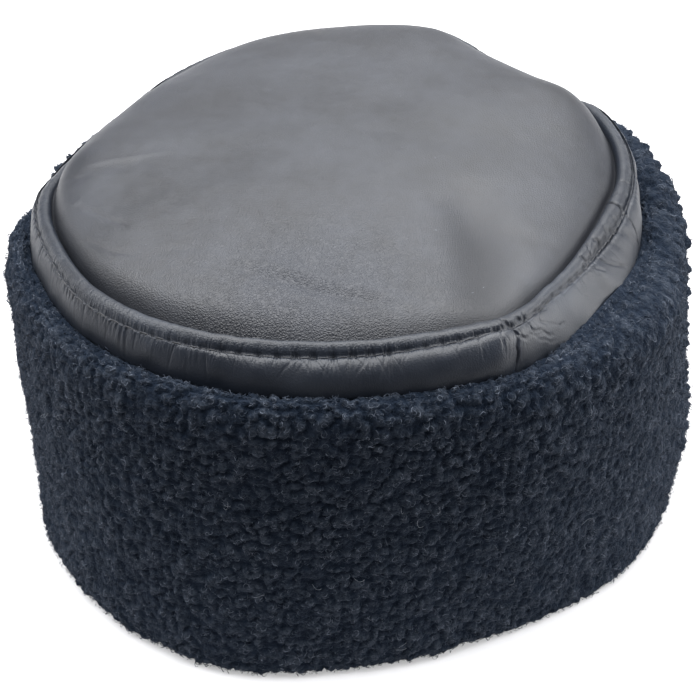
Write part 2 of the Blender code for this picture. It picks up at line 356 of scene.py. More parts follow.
    def shoulder(self, azimuths: np.ndarray, down: np.ndarray) -> tuple[np.ndarray, np.ndarray]:
        """The leather wall above the fur, without its folds.

        Args:
            azimuths: where its section is taken.
            down: share of the way from the stitches, 0, to the widest line, 1.

        Returns:
            Radius and height.
        """
        stitch = self.stitch_line(azimuths)
        top = self.rim(azimuths) - self.stitch_drop(azimuths)
        turn = np.pi / 2 * down
        slant = np.clip(zoned(azimuths, *self.slanting), 0.0, self.most_slant)
        calm = np.clip(1.0 - zoned(azimuths, *self.calmer), self.least_puff, 1.0) + zoned(azimuths, *self.plumper)
        puff = self.puff * calm * np.sin(np.pi * np.sqrt(down))
        out = (1 - slant) * np.sin(turn) ** (1.0 - zoned(azimuths, self.squarer)) + slant * down
        up = (1 - slant) * np.cos(turn) + slant * (1 - down)
        widest = self.widest_height + zoned(azimuths, *self.higher)
        wall = self.around("wall", azimuths)
        wall = wall + zoned(azimuths, *self.fuller) * (self.crest(azimuths) - wall)
        radius = stitch + (wall - stitch) * out + puff * np.sin(turn)
        height = widest + (top - widest) * up + puff * np.cos(turn)
        return radius, height

    def pile(self, azimuths: np.ndarray, run: np.ndarray) -> tuple[np.ndarray, np.ndarray]:
        """The outside of the fur, along its section from the shelf over the crest to the leather.

        Args:
            azimuths: where the section is taken.
            run: millimetres along the section, from 0 to pile_run.

        Returns:
            Radius and height.
        """
        base, top = self.around("fur_base", azimuths), self.around("fur_top", azimuths)
        wall, crest = self.around("wall", azimuths), self.crest(azimuths)
        lengths = self.pile_lengths
        foot = np.clip(run / lengths[0], 0, 1) * np.pi / 2
        side = np.clip((run - lengths[0]) / lengths[1], 0, 1)
        turn = np.clip((run - sum(lengths[:2])) / lengths[2], 0, 1) * np.pi / 2
        lip = np.clip((run - sum(lengths[:3])) / lengths[3], 0, 1)
        inner = wall + self.lip_gap - zoned(azimuths, *self.lip_leaning)
        radius = base - self.fur_edge * (1 - np.sin(foot)) + (top - base) * np.sin(np.pi / 2 * side)
        radius += (crest - top) * (1 - np.cos(turn)) + (inner - crest) * lip
        height = self.fur_edge * (1 - np.cos(foot)) + (self.shoulder_height - self.fur_edge) * side
        height += (self.crest_height - self.shoulder_height) * np.sin(turn)
        height += (zoned(azimuths, *self.lip_higher) - self.lip_drop) * lip**2
        return radius, height


# Meshes


def mesh_object(name: str, points: np.ndarray, faces: np.ndarray, smooth: bool = True) -> bpy.types.Object:
    """Makes a mesh of triangles or quads.

    Args:
        name: the piece's name.
        points: its points in millimetres, one row each.
        faces: indices of each face's corners, one row each.
        smooth: shade it smooth.

    Returns:
        The object, linked to the scene.
    """
    mesh = bpy.data.meshes.new(name)
    corners = faces.shape[1]
    mesh.vertices.add(len(points))
    mesh.vertices.foreach_set("co", np.ascontiguousarray(points * MM, np.float32).ravel())
    mesh.loops.add(faces.size)
    mesh.loops.foreach_set("vertex_index", np.ascontiguousarray(faces, np.int32).ravel())
    mesh.polygons.add(len(faces))
    mesh.polygons.foreach_set("loop_start", np.arange(0, faces.size, corners, dtype=np.int32))
    mesh.polygons.foreach_set("use_smooth", np.full(len(faces), smooth))
    mesh.update(calc_edges=True)
    piece = bpy.data.objects.new(name, mesh)
    bpy.context.scene.collection.objects.link(piece)
    return piece


def grid_faces(rows: int, columns: int, around: bool) -> np.ndarray:
    """Quads of a grid of points, row by row.

    Args:
        rows: of the grid.
        columns: of the grid.
        around: whether its last column meets the first.

    Returns:
        Indices of each quad's corners.
    """
    spans = columns if around else columns - 1
    row, column = np.meshgrid(np.arange(rows - 1), np.arange(spans), indexing="ij")
    near, far = row * columns + column, row * columns + (column + 1) % columns
    return np.stack([near, far, far + columns, near + columns], axis=-1).reshape(-1, 4)


def tubes(lines: np.ndarray, aside: tuple[float, float, float], radius: float, sides: int) -> tuple[np.ndarray, ...]:
    """Round strands.

    Args:
        lines: their centre lines (strand, joint, xyz).
        aside: a direction that no strand follows.
        radius: of a strand, in millimetres.
        sides: of its section.

    Returns:
        The points and the faces of all strands.
    """
    joints = lines.shape[1]
    ahead = np.gradient(lines, axis=1)
    ahead /= np.linalg.norm(ahead, axis=-1, keepdims=True)
    beside = np.cross(ahead, np.array(aside))
    beside /= np.linalg.norm(beside, axis=-1, keepdims=True)
    above = np.cross(beside, ahead)
    turns = np.arange(sides) * 2 * np.pi / sides
    ring = np.cos(turns)[:, None] * beside[:, :, None, :] + np.sin(turns)[:, None] * above[:, :, None, :]
    first = (np.arange(len(lines)) * joints * sides)[:, None, None]
    faces = (grid_faces(joints, sides, around=True)[None] + first).reshape(-1, 4)
    return (lines[:, :, None, :] + radius * ring).reshape(-1, 3), faces


def add_attribute(piece: bpy.types.Object, name: str, values: np.ndarray) -> None:
    """Stores values on the points of a mesh, for its material to read.

    Args:
        piece: the mesh.
        name: the name by which the material reads them.
        values: for each point a number, or a row of three.
    """
    rows_of_three = values.ndim == 2 and values.shape[1] == 3
    kind, field = ("FLOAT_VECTOR", "vector") if rows_of_three else ("FLOAT", "value")
    attribute = piece.data.attributes.new(name, kind, "POINT")
    attribute.data.foreach_set(field, np.ascontiguousarray(values, np.float32).ravel())


def finished(piece: bpy.types.Object, material: bpy.types.Material) -> bpy.types.Object:
    """Dresses a piece, lets it ride on the hat, and reports it.

    Args:
        piece: the new piece.
        material: its finish.

    Returns:
        The piece.
    """
    piece.data.materials.append(material)
    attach(piece, BODY)
    LOG.info("%s: %d faces, %s", piece.name, len(piece.data.polygons), material.name)
    return piece


# Materials


def linear(colour: str) -> tuple[float, float, float, float]:
    """Turns an sRGB colour to linear.

    Args:
        colour: its hex value, such as 2b2c30.

    Returns:
        Red, green, blue and alpha.
    """
    channels = [int(colour[i : i + 2], 16) / 255 for i in (0, 2, 4)]
    red, green, blue = (c / 12.92 if c <= 0.04045 else ((c + 0.055) / 1.055) ** 2.4 for c in channels)
    return red, green, blue, 1.0


def add_node(tree: bpy.types.NodeTree, kind: str, inputs: dict | None = None, **settings: object) -> bpy.types.Node:
    """Adds a node.

    Args:
        tree: the material's node tree.
        kind: the node's type, without the ShaderNode in front.
        inputs: for each input, by name or number, its value or the output that feeds it.
        settings: the node's own settings.

    Returns:
        The node.
    """
    node = tree.nodes.new("ShaderNode" + kind)
    for setting, value in settings.items():
        setattr(node, setting, value)
    for key, value in (inputs or {}).items():
        if isinstance(value, bpy.types.NodeSocket):
            tree.links.new(value, node.inputs[key])
        else:
            node.inputs[key].default_value = value
    return node


def new_material(name: str) -> tuple[bpy.types.Material, bpy.types.NodeTree, bpy.types.Node]:
    """Makes an empty material with a Principled shader.

    Args:
        name: of the material.

    Returns:
        The material, its node tree and the shader.
    """
    material = bpy.data.materials.new(name)
    material.use_nodes = True
    return material, material.node_tree, material.node_tree.nodes["Principled BSDF"]


@dataclass(frozen=True)
class NappaLeather:
    """Black nappa: drum dyed, lightly finished sheep leather. The finish gives a soft broad sheen that is duller
    in folds, and the fine grain breaks it up where the skin is stretched less."""

    name: str
    dye: str = "10131a"
    worn: str = "2c2f36"
    specular: float = 0.5

    # The sheen, how far it varies over the skin, and how much duller the leather is where it is unworn and where
    # painted shade is laid in
    roughness: float = 0.45
    roughness_spread: float = 0.06
    dull: float = 0.16

    # The blotches that drum dyeing leaves: their size, the size and the share of their mottle, and between which
    # values of both the shade and the sheen change
    blotch: float = 28.0
    mottle: float = 4.0
    mottle_share: float = 0.35
    contrast: tuple[float, float] = (0.3, 0.7)

    # The grain: the size of its pebbles, over what length and how far its furrows bend, how wide they are, its
    # depth and strength, and the size and the share of its pores. On the hide it is about half as wide, too fine
    # to show in the render, so it is drawn this coarse.
    grain: float = 0.8
    grain_bend: float = 2.2
    grain_sway: float = 0.6
    furrow: float = 0.28
    grain_depth: float = 0.24
    grain_strength: float = 0.9
    pores: float = 0.42
    pore_share: float = 0.4

    # Fine gathers that the stitches draw in: their depth, 0 for none, their pitch along the seam, and between
    # which values of their pattern they rise
    gathers: float = 0.0
    gather_pitch: float = 0.9
    gather_rise: tuple[float, float] = (0.34, 0.56)

    def material(self) -> bpy.types.Material:
        """Builds the finish.

        Returns:
            The material.
        """
        material, tree, shader = new_material(self.name)
        place = add_node(tree, "TexCoord").outputs["Object"]
        blotches = {"Vector": place, "Scale": 1 / (self.blotch * MM), "Detail": 3.0}
        mottles = {"Vector": place, "Scale": 1 / (self.mottle * MM), "Detail": 4.0}
        clouds = add_node(tree, "TexNoise", blotches).outputs["Fac"]
        mottle = add_node(tree, "TexNoise", mottles).outputs["Fac"]
        blend = add_node(tree, "Mix", {0: self.mottle_share, 2: clouds, 3: mottle}, data_type="FLOAT").outputs[0]
        weak, strong = self.contrast
        uneven = add_node(tree, "MapRange", {"Value": blend, "From Min": weak, "From Max": strong}).outputs["Result"]
        # The wear_and_shade attribute is real wear, lowered by painted shade in folds, by the panel's edge and low on
        # the wall. The colour falls towards the dye with it.
        rubbed_and_shaded = add_node(tree, "Attribute", attribute_name="wear_and_shade").outputs["Fac"]
        share = add_node(tree, "Math", {0: uneven, 1: rubbed_and_shaded}, operation="MULTIPLY").outputs["Value"]
        shades = add_node(tree, "ValToRGB", {"Fac": share})
        shades.color_ramp.elements[0].color = linear(self.dye)
        shades.color_ramp.elements[1].color = linear(self.worn)
        tree.links.new(shades.outputs["Color"], shader.inputs["Base Color"])
        tree.links.new(self.sheen(tree, blend, rubbed_and_shaded), shader.inputs["Roughness"])
        tree.links.new(self.relief(tree, place), shader.inputs["Normal"])
        shader.inputs["Specular IOR Level"].default_value = self.specular
        return material

    def sheen(
        self, tree: bpy.types.NodeTree, blend: bpy.types.NodeSocket, rubbed_and_shaded: bpy.types.NodeSocket
    ) -> bpy.types.NodeSocket:
        """Adds the nodes that make the sheen uneven.

        Args:
            tree: the material's node tree.
            blend: the blotches.
            rubbed_and_shaded: how worn the leather is, lowered by the painted shade laid into it.

        Returns:
            The roughness.
        """
        weak, strong = self.contrast
        low, high = self.roughness - self.roughness_spread, self.roughness + self.roughness_spread
        gloss = add_node(
            tree, "MapRange", {"Value": blend, "From Min": weak, "From Max": strong, "To Min": low, "To Max": high}
        ).outputs["Result"]
        unworn_and_shaded = add_node(tree, "Math", {0: 1.0, 1: rubbed_and_shaded}, operation="SUBTRACT", use_clamp=True).outputs["Value"]
        return add_node(tree, "Math", {0: unworn_and_shaded, 1: self.dull, 2: gloss}, operation="MULTIPLY_ADD").outputs["Value"]

    def relief(self, tree: bpy.types.NodeTree, place: bpy.types.NodeSocket) -> bpy.types.NodeSocket:
        """Adds the nodes of the grain, flat pebbles between fine furrows, and of the gathers.

        Args:
            tree: the material's node tree.
            place: the coordinates that the grain lies on.

        Returns:
            The normal.
        """
        bends = {"Vector": place, "Scale": 1 / (self.grain_bend * MM), "Detail": 2.0}
        bent = add_node(tree, "TexNoise", bends).outputs["Color"]
        sway = add_node(tree, "VectorMath", {0: bent, 1: 3 * (self.grain_sway * MM,)}, operation="MULTIPLY")
        swayed = add_node(tree, "VectorMath", {0: place, 1: sway.outputs["Vector"]}, operation="ADD").outputs["Vector"]
        pebbles = add_node(
            tree, "TexVoronoi", {"Vector": swayed, "Scale": 1 / (self.grain * MM)}, feature="DISTANCE_TO_EDGE"
        ).outputs["Distance"]
        flat = add_node(tree, "MapRange", {"Value": pebbles, "From Min": 0.0, "From Max": self.furrow})
        fine = {"Vector": place, "Scale": 1 / (self.pores * MM), "Detail": 2.0}
        pores = add_node(tree, "TexNoise", fine).outputs["Fac"]
        height = {0: self.pore_share, 2: flat.outputs["Result"], 3: pores}
        surface = add_node(tree, "Mix", height, data_type="FLOAT").outputs[0]
        stretch = add_node(tree, "Attribute", attribute_name="grain").outputs["Fac"]
        strength = add_node(tree, "Math", {0: stretch, 1: self.grain_strength}, operation="MULTIPLY").outputs["Value"]
        grain = {"Strength": strength, "Distance": self.grain_depth * MM, "Height": surface}
        normal = add_node(tree, "Bump", grain).outputs["Normal"]
        if self.gathers:
            # The gathers run down from the stitches, drawn on coordinates that follow the seam
            seam = add_node(tree, "Attribute", attribute_name="seam").outputs["Vector"]
            drawn = {"Vector": seam, "Scale": 1 / self.gather_pitch, "Detail": 2.0, "Roughness": 0.6}
            folds = add_node(tree, "TexNoise", drawn).outputs["Fac"]
            low, high = self.gather_rise
            lines = add_node(tree, "MapRange", {"Value": folds, "From Min": low, "From Max": high}).outputs["Result"]
            pull = add_node(tree, "Attribute", attribute_name="gather").outputs["Fac"]
            gathered = {"Strength": pull, "Distance": self.gathers * MM, "Height": lines, "Normal": normal}
            normal = add_node(tree, "Bump", gathered).outputs["Normal"]
        return normal


@dataclass(frozen=True)
class CurlySheepskin:
    """Black dyed sheepskin with its pile left curly: matte wool with a blue cast from the dye. Its colour carries
    painted light: painted shade towards the roots and painted highlight on the outer bends."""

    name: str
    # The root colour is painted shade and the tip colour painted highlight, over the wool's own dark blue black
    root: str
    tip: str
    haze: str = "8f9bb0"

    # A faint sheen from the tips of the wool, on an otherwise matte pile
    sheen: float = 0.10
    sheen_roughness: float = 0.6
    roughness: float = 0.75
    specular: float = 0.06

    # Sizes of the clouds of lighter wool and of its wisps, the wisps' share, and how hard they stand out. A fibre is
    # a twentieth of a wisp's width, too fine to show in the render, so the wisps stand for bundles of them.
    cloud: float = 9.0
    wisp: float = 0.9
    wisp_share: float = 0.65
    fuzz: float = 0.9

    # Between which values of clouds and wisps the wool gets lighter, and from what share of its shade to what
    contrast: tuple[float, float] = (0.4, 0.62)
    brightness: tuple[float, float] = (0.25, 1.3)

    # How steeply the colour rises from the root's painted shade to the tip's painted highlight, and at which shares of
    # that both colours are pure
    steepness: float = 1.5
    pure: tuple[float, float] = (0.05, 0.75)

    def material(self) -> bpy.types.Material:
        """Builds the finish.

        Returns:
            The material.
        """
        material, tree, shader = new_material(self.name)
        place = add_node(tree, "TexCoord").outputs["Object"]
        # How much painted highlight, against painted shade, each point of the wool gets
        height = add_node(tree, "Attribute", attribute_name="tip").outputs["Fac"]
        lighter = {"Vector": place, "Scale": 1 / (self.cloud * MM), "Detail": 3.0}
        bundles = {"Vector": place, "Scale": 1 / (self.wisp * MM), "Detail": 4.0}
        clouds = add_node(tree, "TexNoise", lighter).outputs["Fac"]
        wisps = add_node(tree, "TexNoise", bundles).outputs["Fac"]
        uneven = add_node(tree, "Mix", {0: self.wisp_share, 2: clouds, 3: wisps}, data_type="FLOAT").outputs[0]
        (weak, strong), (low, high) = self.contrast, self.brightness
        lit = add_node(
            tree, "MapRange", {"Value": uneven, "From Min": weak, "From Max": strong, "To Min": low, "To Max": high}
        ).outputs["Result"]
        risen = add_node(tree, "Math", {0: height, 1: self.steepness}, operation="POWER").outputs["Value"]
        share = add_node(tree, "Math", {0: risen, 1: lit}, operation="MULTIPLY").outputs["Value"]
        shades = add_node(tree, "ValToRGB", {"Fac": share})
        for element, position, colour in zip(shades.color_ramp.elements, self.pure, (self.root, self.tip)):
            element.position = position
            element.color = linear(colour)
        tree.links.new(shades.outputs["Color"], shader.inputs["Base Color"])
        fuzz = add_node(tree, "Bump", {"Strength": self.fuzz, "Distance": self.wisp * MM, "Height": wisps})
        tree.links.new(fuzz.outputs["Normal"], shader.inputs["Normal"])
        shader.inputs["Roughness"].default_value = self.roughness
        shader.inputs["Specular IOR Level"].default_value = self.specular
        shader.inputs["Sheen Weight"].default_value = self.sheen
        shader.inputs["Sheen Roughness"].default_value = self.sheen_roughness
        shader.inputs["Sheen Tint"].default_value = linear(self.haze)
        return material


@dataclass(frozen=True)
class Thread:
    """Twisted polyester thread, or a loose wool fibre: thin, slightly shiny, of one dye with faint unevenness."""

    name: str
    dark: str
    light: str
    roughness: float = 0.5
    # Length of the light and dark stretches along it: painted highlights and shade of its twist
    ply: float = 0.5

    def material(self) -> bpy.types.Material:
        """Builds the finish.

        Returns:
            The material.
        """
        material, tree, shader = new_material(self.name)
        place = add_node(tree, "TexCoord").outputs["Object"]
        twist = {"Vector": place, "Scale": 1 / (self.ply * MM), "Detail": 2.0}
        plies = add_node(tree, "TexNoise", twist).outputs["Fac"]
        # The plies are painted light and dark, as highlights and shade of the twist
        shades = add_node(tree, "ValToRGB", {"Fac": plies})
        shades.color_ramp.elements[0].color = linear(self.dark)
        shades.color_ramp.elements[1].color = linear(self.light)
        tree.links.new(shades.outputs["Color"], shader.inputs["Base Color"])
        shader.inputs["Roughness"].default_value = self.roughness
        return material


# Leather


class Crease(NamedTuple):
    """A crease of the panel, from one point to another, from the crown's axis, with its depth and half width. A
    negative depth is a ridge."""

    start: tuple[float, float]
    end: tuple[float, float]
    depth: float
    width: float
    bow: float


CREASES = (
    Crease((41.0, -20.0), (44.5, -100.0), 3.3, 9.5, 2.0),
    Crease((63.0, -46.0), (61.0, -90.0), -0.6, 8.0, 0.5),
    Crease((48.0, -46.0), (70.0, -49.0), 0.4, 4.5, 2.0),
    Crease((-34.0, -64.5), (24.0, -81.5), 0.85, 2.1, -1.8),
    Crease((-26.0, -61.5), (18.0, -75.5), -0.35, 2.4, -1.8),
    Crease((-88.0, -15.5), (-48.0, -10.5), -0.18, 1.1, -0.6),
    Crease((-82.0, -17.5), (-56.0, -17.0), 0.22, 2.6, 0.0),
    Crease((-89.0, -14.0), (-77.0, -22.5), 0.50, 1.4, 0.0),
    Crease((-86.0, -30.0), (-77.5, -32.0), -0.50, 1.5, 0.0),
    Crease((-80.5, -31.0), (-60.5, -49.0), 0.65, 1.05, -0.4),
    Crease((-79.5, -43.0), (-55.0, -61.5), 0.65, 1.05, -2.3),
    Crease((-57.0, -60.5), (-34.0, -60.0), 0.20, 1.2, 1.5),
    Crease((-50.0, 55.0), (-8.0, 66.0), 0.20, 6.0, 2.0),
    Crease((30.0, 70.0), (52.0, 76.0), 0.9, 9.0, 0.0),
)


@dataclass
class LeatherPanel:
    """The puffed panel on top of the crown, whose edge dips into the groove beside the rolled seam."""

    form: HatForm
    finish: NappaLeather
    creases: tuple[Crease, ...] = CREASES

    # How far a crease wavers, as a share of its half width, and in how many bends
    waver: float = 0.5
    bends: float = 5.0

    # Cells of the mesh from the middle to an edge: at the left and the front, where the thin creases are, and
    # elsewhere. They grow towards the middle.
    cells: tuple[int, int] = (152, 70)
    crowding: float = 1.25

    # The panel's edge: its gap to the seam, and how far it is turned out under the roll, and drops there
    groove: float = 0.6
    flange: float = 3.2
    flange_drop: float = 0.5

    # How deep and how wide the edge dips into the groove, and where it does so more
    edge_drop: float = 0.8
    deeper: Zone = Zone(250.0, 44.0, 7.4)
    edge_width: float = 2.2
    wider: Zone = Zone(264.0, 38.0, 4.8)

    # Soft unevenness of the puff: the height and the size of its waves, where they start, and their seed
    swells: tuple[tuple[float, float, float, int], ...] = ((0.26, 17.0, 40.0, 3), (0.091, 6.0, 80.0, 4))

    # The band of painted shade in the valley at the right front, from the crown's axis: its middle at its low end, how
    # it slopes, its half width, its low end, how far it reaches from there, over how much it fades, and how dark its
    # painted shade is
    band_middle: float = 42.5
    band_slope: float = 0.02
    band_width: float = 9.0
    band_low: float = -68.0
    band_reach: float = 42.0
    band_fade: float = 30.0
    band_share: float = 0.85

    # The patch near the front where the grain shows most and the dye is rubbed off most: its middle and half
    # width, where it starts towards the front, and over how much it grows
    patch_middle: float = -8.0
    patch_width: float = 42.0
    patch_start: float = -20.0
    patch_growth: float = 55.0

    def crease_relief(self, x: np.ndarray, y: np.ndarray) -> np.ndarray:
        """How far creases and ridges raise the panel.

        Args:
            x: of points from the crown's axis.
            y: of the same points.

        Returns:
            Heights, negative in a crease.
        """
        relief = np.zeros_like(x)
        for crease in self.creases:
            start, end = np.array(crease.start), np.array(crease.end)
            length = float(np.hypot(*(end - start)))
            ahead = (end - start) / length
            along = ((x - start[0]) * ahead[0] + (y - start[1]) * ahead[1]) / length
            across = (y - start[1]) * ahead[0] - (x - start[0]) * ahead[1]
            across = across - crease.bow * 4 * along * (1 - along)
            across = across + self.waver * crease.width * soft_noise(along * self.bends, along * 0, 11)
            fade = ease(1 - np.abs(2 * along - 1) ** 2)
            relief -= crease.depth * bell(across, crease.width) * fade
        return relief

    def disc(self) -> tuple[np.ndarray, np.ndarray]:
        """A square grid that is bent into a disc.

        Returns:
            Azimuth of each point, and its reach from the middle, 0, to the edge, 1.
        """
        fine, wide = self.cells
        side = np.concatenate([np.linspace(-1.0, 0.0, fine, endpoint=False), np.linspace(0.0, 1.0, wide + 1)])
        u, v = np.meshgrid(side, side, indexing="ij")
        level = np.abs(u) >= np.abs(v)
        safe_u, safe_v = np.where(u == 0, 1e-9, u), np.where(v == 0, 1e-9, v)
        turn = np.where(level, 45.0 * v / safe_u, 90.0 - 45.0 * u / safe_v)
        turn = turn + np.where(level & (u < 0), 180.0, 0.0) + np.where(~level & (v < 0), 180.0, 0.0)
        return turn % 360.0, np.maximum(np.abs(u), np.abs(v))

    def build(self) -> bpy.types.Object:
        """Makes the panel.

        Returns:
            The piece.
        """
        azimuths, reach = self.disc()
        seam = self.form.around("seam", azimuths)
        hidden = 1.0 / self.cells[1]
        inner = np.clip(reach / (1 - hidden), 0.0, 1.0)
        share = (1 - (1 - inner) ** self.crowding) * (1 - self.groove / seam)
        x, y = share * seam * np.cos(np.radians(azimuths)), share * seam * np.sin(np.radians(azimuths))
        inward = (1 - share) * seam
        width = self.edge_width + zoned(azimuths, self.wider)
        height = self.form.dome(azimuths, share)
        height -= (self.edge_drop + zoned(azimuths, self.deeper)) * bell(inward, width)
        calm = 1 - share**8
        height += calm * self.crease_relief(x, y)
        for rise, size, start, seed in self.swells:
            height += calm * rise * soft_noise(x / size + start, y / size + start, seed)
        outside = np.clip((reach - (1 - hidden)) / hidden, 0.0, 1.0)
        radius = share * seam + (self.flange + self.groove) * outside
        points = self.form.place(azimuths, radius, height - self.flange_drop * outside).reshape(-1, 3)
        faces = grid_faces(len(reach), len(reach), around=False)[:, ::-1]
        piece = mesh_object("crown_panel", points, faces)
        self.dress(piece, x, y, bell(inward, 1.1 * width))
        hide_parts(Node.PANEL.value)
        return piece

    def dress(self, piece: bpy.types.Object, x: np.ndarray, y: np.ndarray, edge: np.ndarray) -> None:
        """Stores what the finish reads, and gives the panel its finish.

        Args:
            piece: the panel.
            x: of its points from the crown's axis.
            y: of the same points.
            edge: how near they are to the dip at the edge, from 0 to 1, where the colour gets painted shade.
        """
        patch = bell(x - self.patch_middle, self.patch_width) * ease((self.patch_start - y) / self.patch_growth)
        beside = x - self.band_middle - self.band_slope * (y - self.band_low)
        shade_band = bell(beside, self.band_width) * ease((self.band_reach - np.abs(y - self.band_low)) / self.band_fade)
        add_attribute(piece, "grain", 0.3 + 0.7 * patch)
        # Wear in the patch, with painted shade in the valley band and in the dip at the panel's edge
        add_attribute(piece, "wear_and_shade", (1 + 0.6 * patch) * (1 - self.band_share * shade_band) * (1 - 0.9 * edge))
        finished(piece, self.finish.material())


class Fold(NamedTuple):
    """A fold of the leather wall: the azimuth where it leaves the stitches, how far it leans on its way to the
    wall's widest line, its half width in degrees and its depth, negative for a ridge, and the share of the way
    that it reaches."""

    azimuth: float
    lean: float
    width: float
    depth: float
    reach: float


FOLDS = (
    Fold(296.6, -1.0, 2.6, -0.9, 1.2),
    Fold(304.0, 5.0, 2.4, -0.5, 1.1),
    Fold(315.0, 4.0, 6.0, -0.7, 1.3),
    Fold(326.0, 3.0, 2.2, -0.5, 1.2),
    Fold(335.6, 0.8, 1.0, 0.35, 0.8),
    Fold(339.4, 2.6, 1.0, 0.5, 0.9),
    Fold(350.0, -2.0, 2.4, -0.5, 1.2),
    Fold(1.0, 0.0, 1.0, 0.6, 1.0),
)


class Wrinkle(NamedTuple):
    """A thin crease of the leather: the points that it runs through, each an azimuth and a share of the way from
    the stitches to the wall's widest line, or, below 0, to the groove; its half width and its depth, negative for
    a ridge."""

    points: tuple[tuple[float, float], ...]
    width: float
    depth: float


WRINKLES = (
    # The upright crease of the corner and its companions
    Wrinkle(((299.7, 0.06), (300.0, 0.29), (299.5, 0.46), (299.5, 0.61), (299.2, 0.73), (298.8, 0.95)), 0.28, 0.60),
    Wrinkle(((300.6, 0.24), (300.3, 0.46), (300.1, 0.61), (300.0, 0.80)), 0.40, -0.22),
    Wrinkle(((300.8, 0.30), (300.9, 0.46), (300.6, 0.60), (300.4, 0.76)), 0.26, 0.12),
    Wrinkle(((298.7, 0.30), (298.5, 0.48), (298.3, 0.68)), 0.26, 0.05),
    Wrinkle(((298.0, 0.26), (297.7, 0.48), (297.5, 0.70)), 0.30, 0.04),
    Wrinkle(((299.9, 0.05), (300.2, 0.22), (301.0, 0.31), (301.8, 0.37), (302.6, 0.36)), 0.30, 0.50),
    # Thin wavy creases that run on from it to the right
    Wrinkle(((302.9, 0.17), (304.2, 0.31), (305.5, 0.37), (306.0, 0.42), (307.2, 0.54), (309.2, 0.66)), 0.22, 0.24),
    Wrinkle(((302.6, 0.34), (304.2, 0.41), (305.8, 0.44), (306.8, 0.53), (308.4, 0.64)), 0.22, 0.28),
    Wrinkle(((303.6, 0.30), (304.6, 0.36), (305.6, 0.36)), 0.22, 0.24),
    Wrinkle(((305.4, 0.20), (308.2, 0.36), (309.8, 0.47), (310.9, 0.54)), 0.22, 0.20),
    Wrinkle(((310.4, 0.51), (311.0, 0.55), (312.2, 0.53)), 0.28, 0.26),
    Wrinkle(((304.5, 0.08), (306.8, 0.30), (308.4, 0.47)), 0.22, 0.15),
    Wrinkle(((306.9, -0.02), (307.8, 0.04), (309.0, 0.10)), 0.30, 0.30),
    Wrinkle(((303.8, 0.44), (306.0, 0.59), (307.2, 0.69), (309.4, 0.74)), 0.22, 0.18),
    # Creases at the right
    Wrinkle(((328.6, 0.02), (329.2, 0.18), (329.8, 0.27), (330.8, 0.36), (331.8, 0.44), (334.6, 0.66)), 0.30, 0.48),
    Wrinkle(((331.2, 0.30), (332.0, 0.36), (332.6, 0.43)), 0.26, 0.24),
    Wrinkle(((325.3, 0.05), (326.0, 0.17), (327.0, 0.25), (328.0, 0.32)), 0.28, 0.30),
    Wrinkle(((324.6, 0.10), (325.2, 0.22), (326.2, 0.31)), 0.28, 0.16),
    # The seam across the crown's side
    Wrinkle(((347.3, -1.0), (347.0, -0.75), (346.6, -0.45), (346.6, -0.15), (346.0, 0.06)), 0.44, 1.50),
    Wrinkle(((346.0, 0.04), (344.8, 0.15), (344.3, 0.28), (343.9, 0.42), (343.5, 0.62), (343.2, 1.00)), 0.42, 0.75),
    Wrinkle(((350.8, -0.72), (350.8, -0.70)), 0.42, 1.40),
    Wrinkle(((350.7, -0.60), (350.7, -0.58)), 0.42, 1.40),
    # Creases across the rolled seam
    Wrinkle(((297.8, -0.55), (298.2, -0.26), (298.3, 0.00)), 0.24, 0.35),
    Wrinkle(((298.9, -0.62), (299.3, -0.35), (299.6, 0.00)), 0.50, 0.85),
    Wrinkle(((301.4, -0.30), (302.2, -0.02)), 0.55, 0.80),
    Wrinkle(((303.2, -0.36), (303.0, -0.05)), 0.40, 0.45),
    Wrinkle(((325.0, -0.55), (325.2, -0.30), (325.5, 0.00)), 0.50, 0.60),
    Wrinkle(((329.8, -0.80), (328.9, -0.50), (328.0, -0.26), (327.9, 0.02)), 0.50, 0.60),
    Wrinkle(((332.0, -0.50), (333.0, -0.15), (332.6, 0.05)), 0.85, 0.60),
    Wrinkle(((337.6, -0.40), (336.8, -0.10)), 1.30, 0.55),
    Wrinkle(((339.6, -0.30), (343.2, -0.22)), 0.90, 0.45),
    Wrinkle(((356.0, -0.70), (356.4, -0.10)), 0.60, 0.40),
)


class Puckers(NamedTuple):
    """How the wall is drawn in at the stitches over a stretch of azimuths: creases a stitch, over what share of a
    stitch they start, how far they spread in degrees, the share of the wall that they reach, their half width in
    degrees, and their depth on the wall and on the roll."""

    start: float
    end: float
    count: int
    scatter: float
    spread: float
    reach: float
    width: float
    depth: float
    roll_depth: float


PUCKERS = (
    Puckers(188, 213, 2, 1.0, 0.9, 0.75, 0.22, 0.40, 0.06),
    Puckers(213, 250, 6, 1.0, 0.8, 0.90, 0.15, 0.30, 0.10),
    Puckers(250, 263, 9, 0.50, 2.2, 0.60, 0.11, 0.22, 0.10),
    Puckers(263, 282, 14, 0.50, 3.0, 0.70, 0.11, 0.24, 0.12),
    Puckers(282, 306, 9, 0.50, 2.6, 0.55, 0.11, 0.20, 0.07),
    Puckers(306, 325, 3, 0.50, 1.4, 0.30, 0.16, 0.14, 0.10),
    Puckers(325, 368, 3, 0.60, 1.4, 0.45, 0.20, 0.16, 0.10),
    Puckers(368, 548, 3, 0.70, 1.4, 0.60, 0.34, 0.20, 0.10),
)


class Pucker(NamedTuple):
    """A short crease that one stitch draws in: where it starts, how far it leans on its way to the widest line, its
    half width in degrees, its depth on the wall and on the roll, and the share of the wall that it reaches."""

    azimuth: float
    lean: float
    width: float
    depth: float
    roll_depth: float
    reach: float


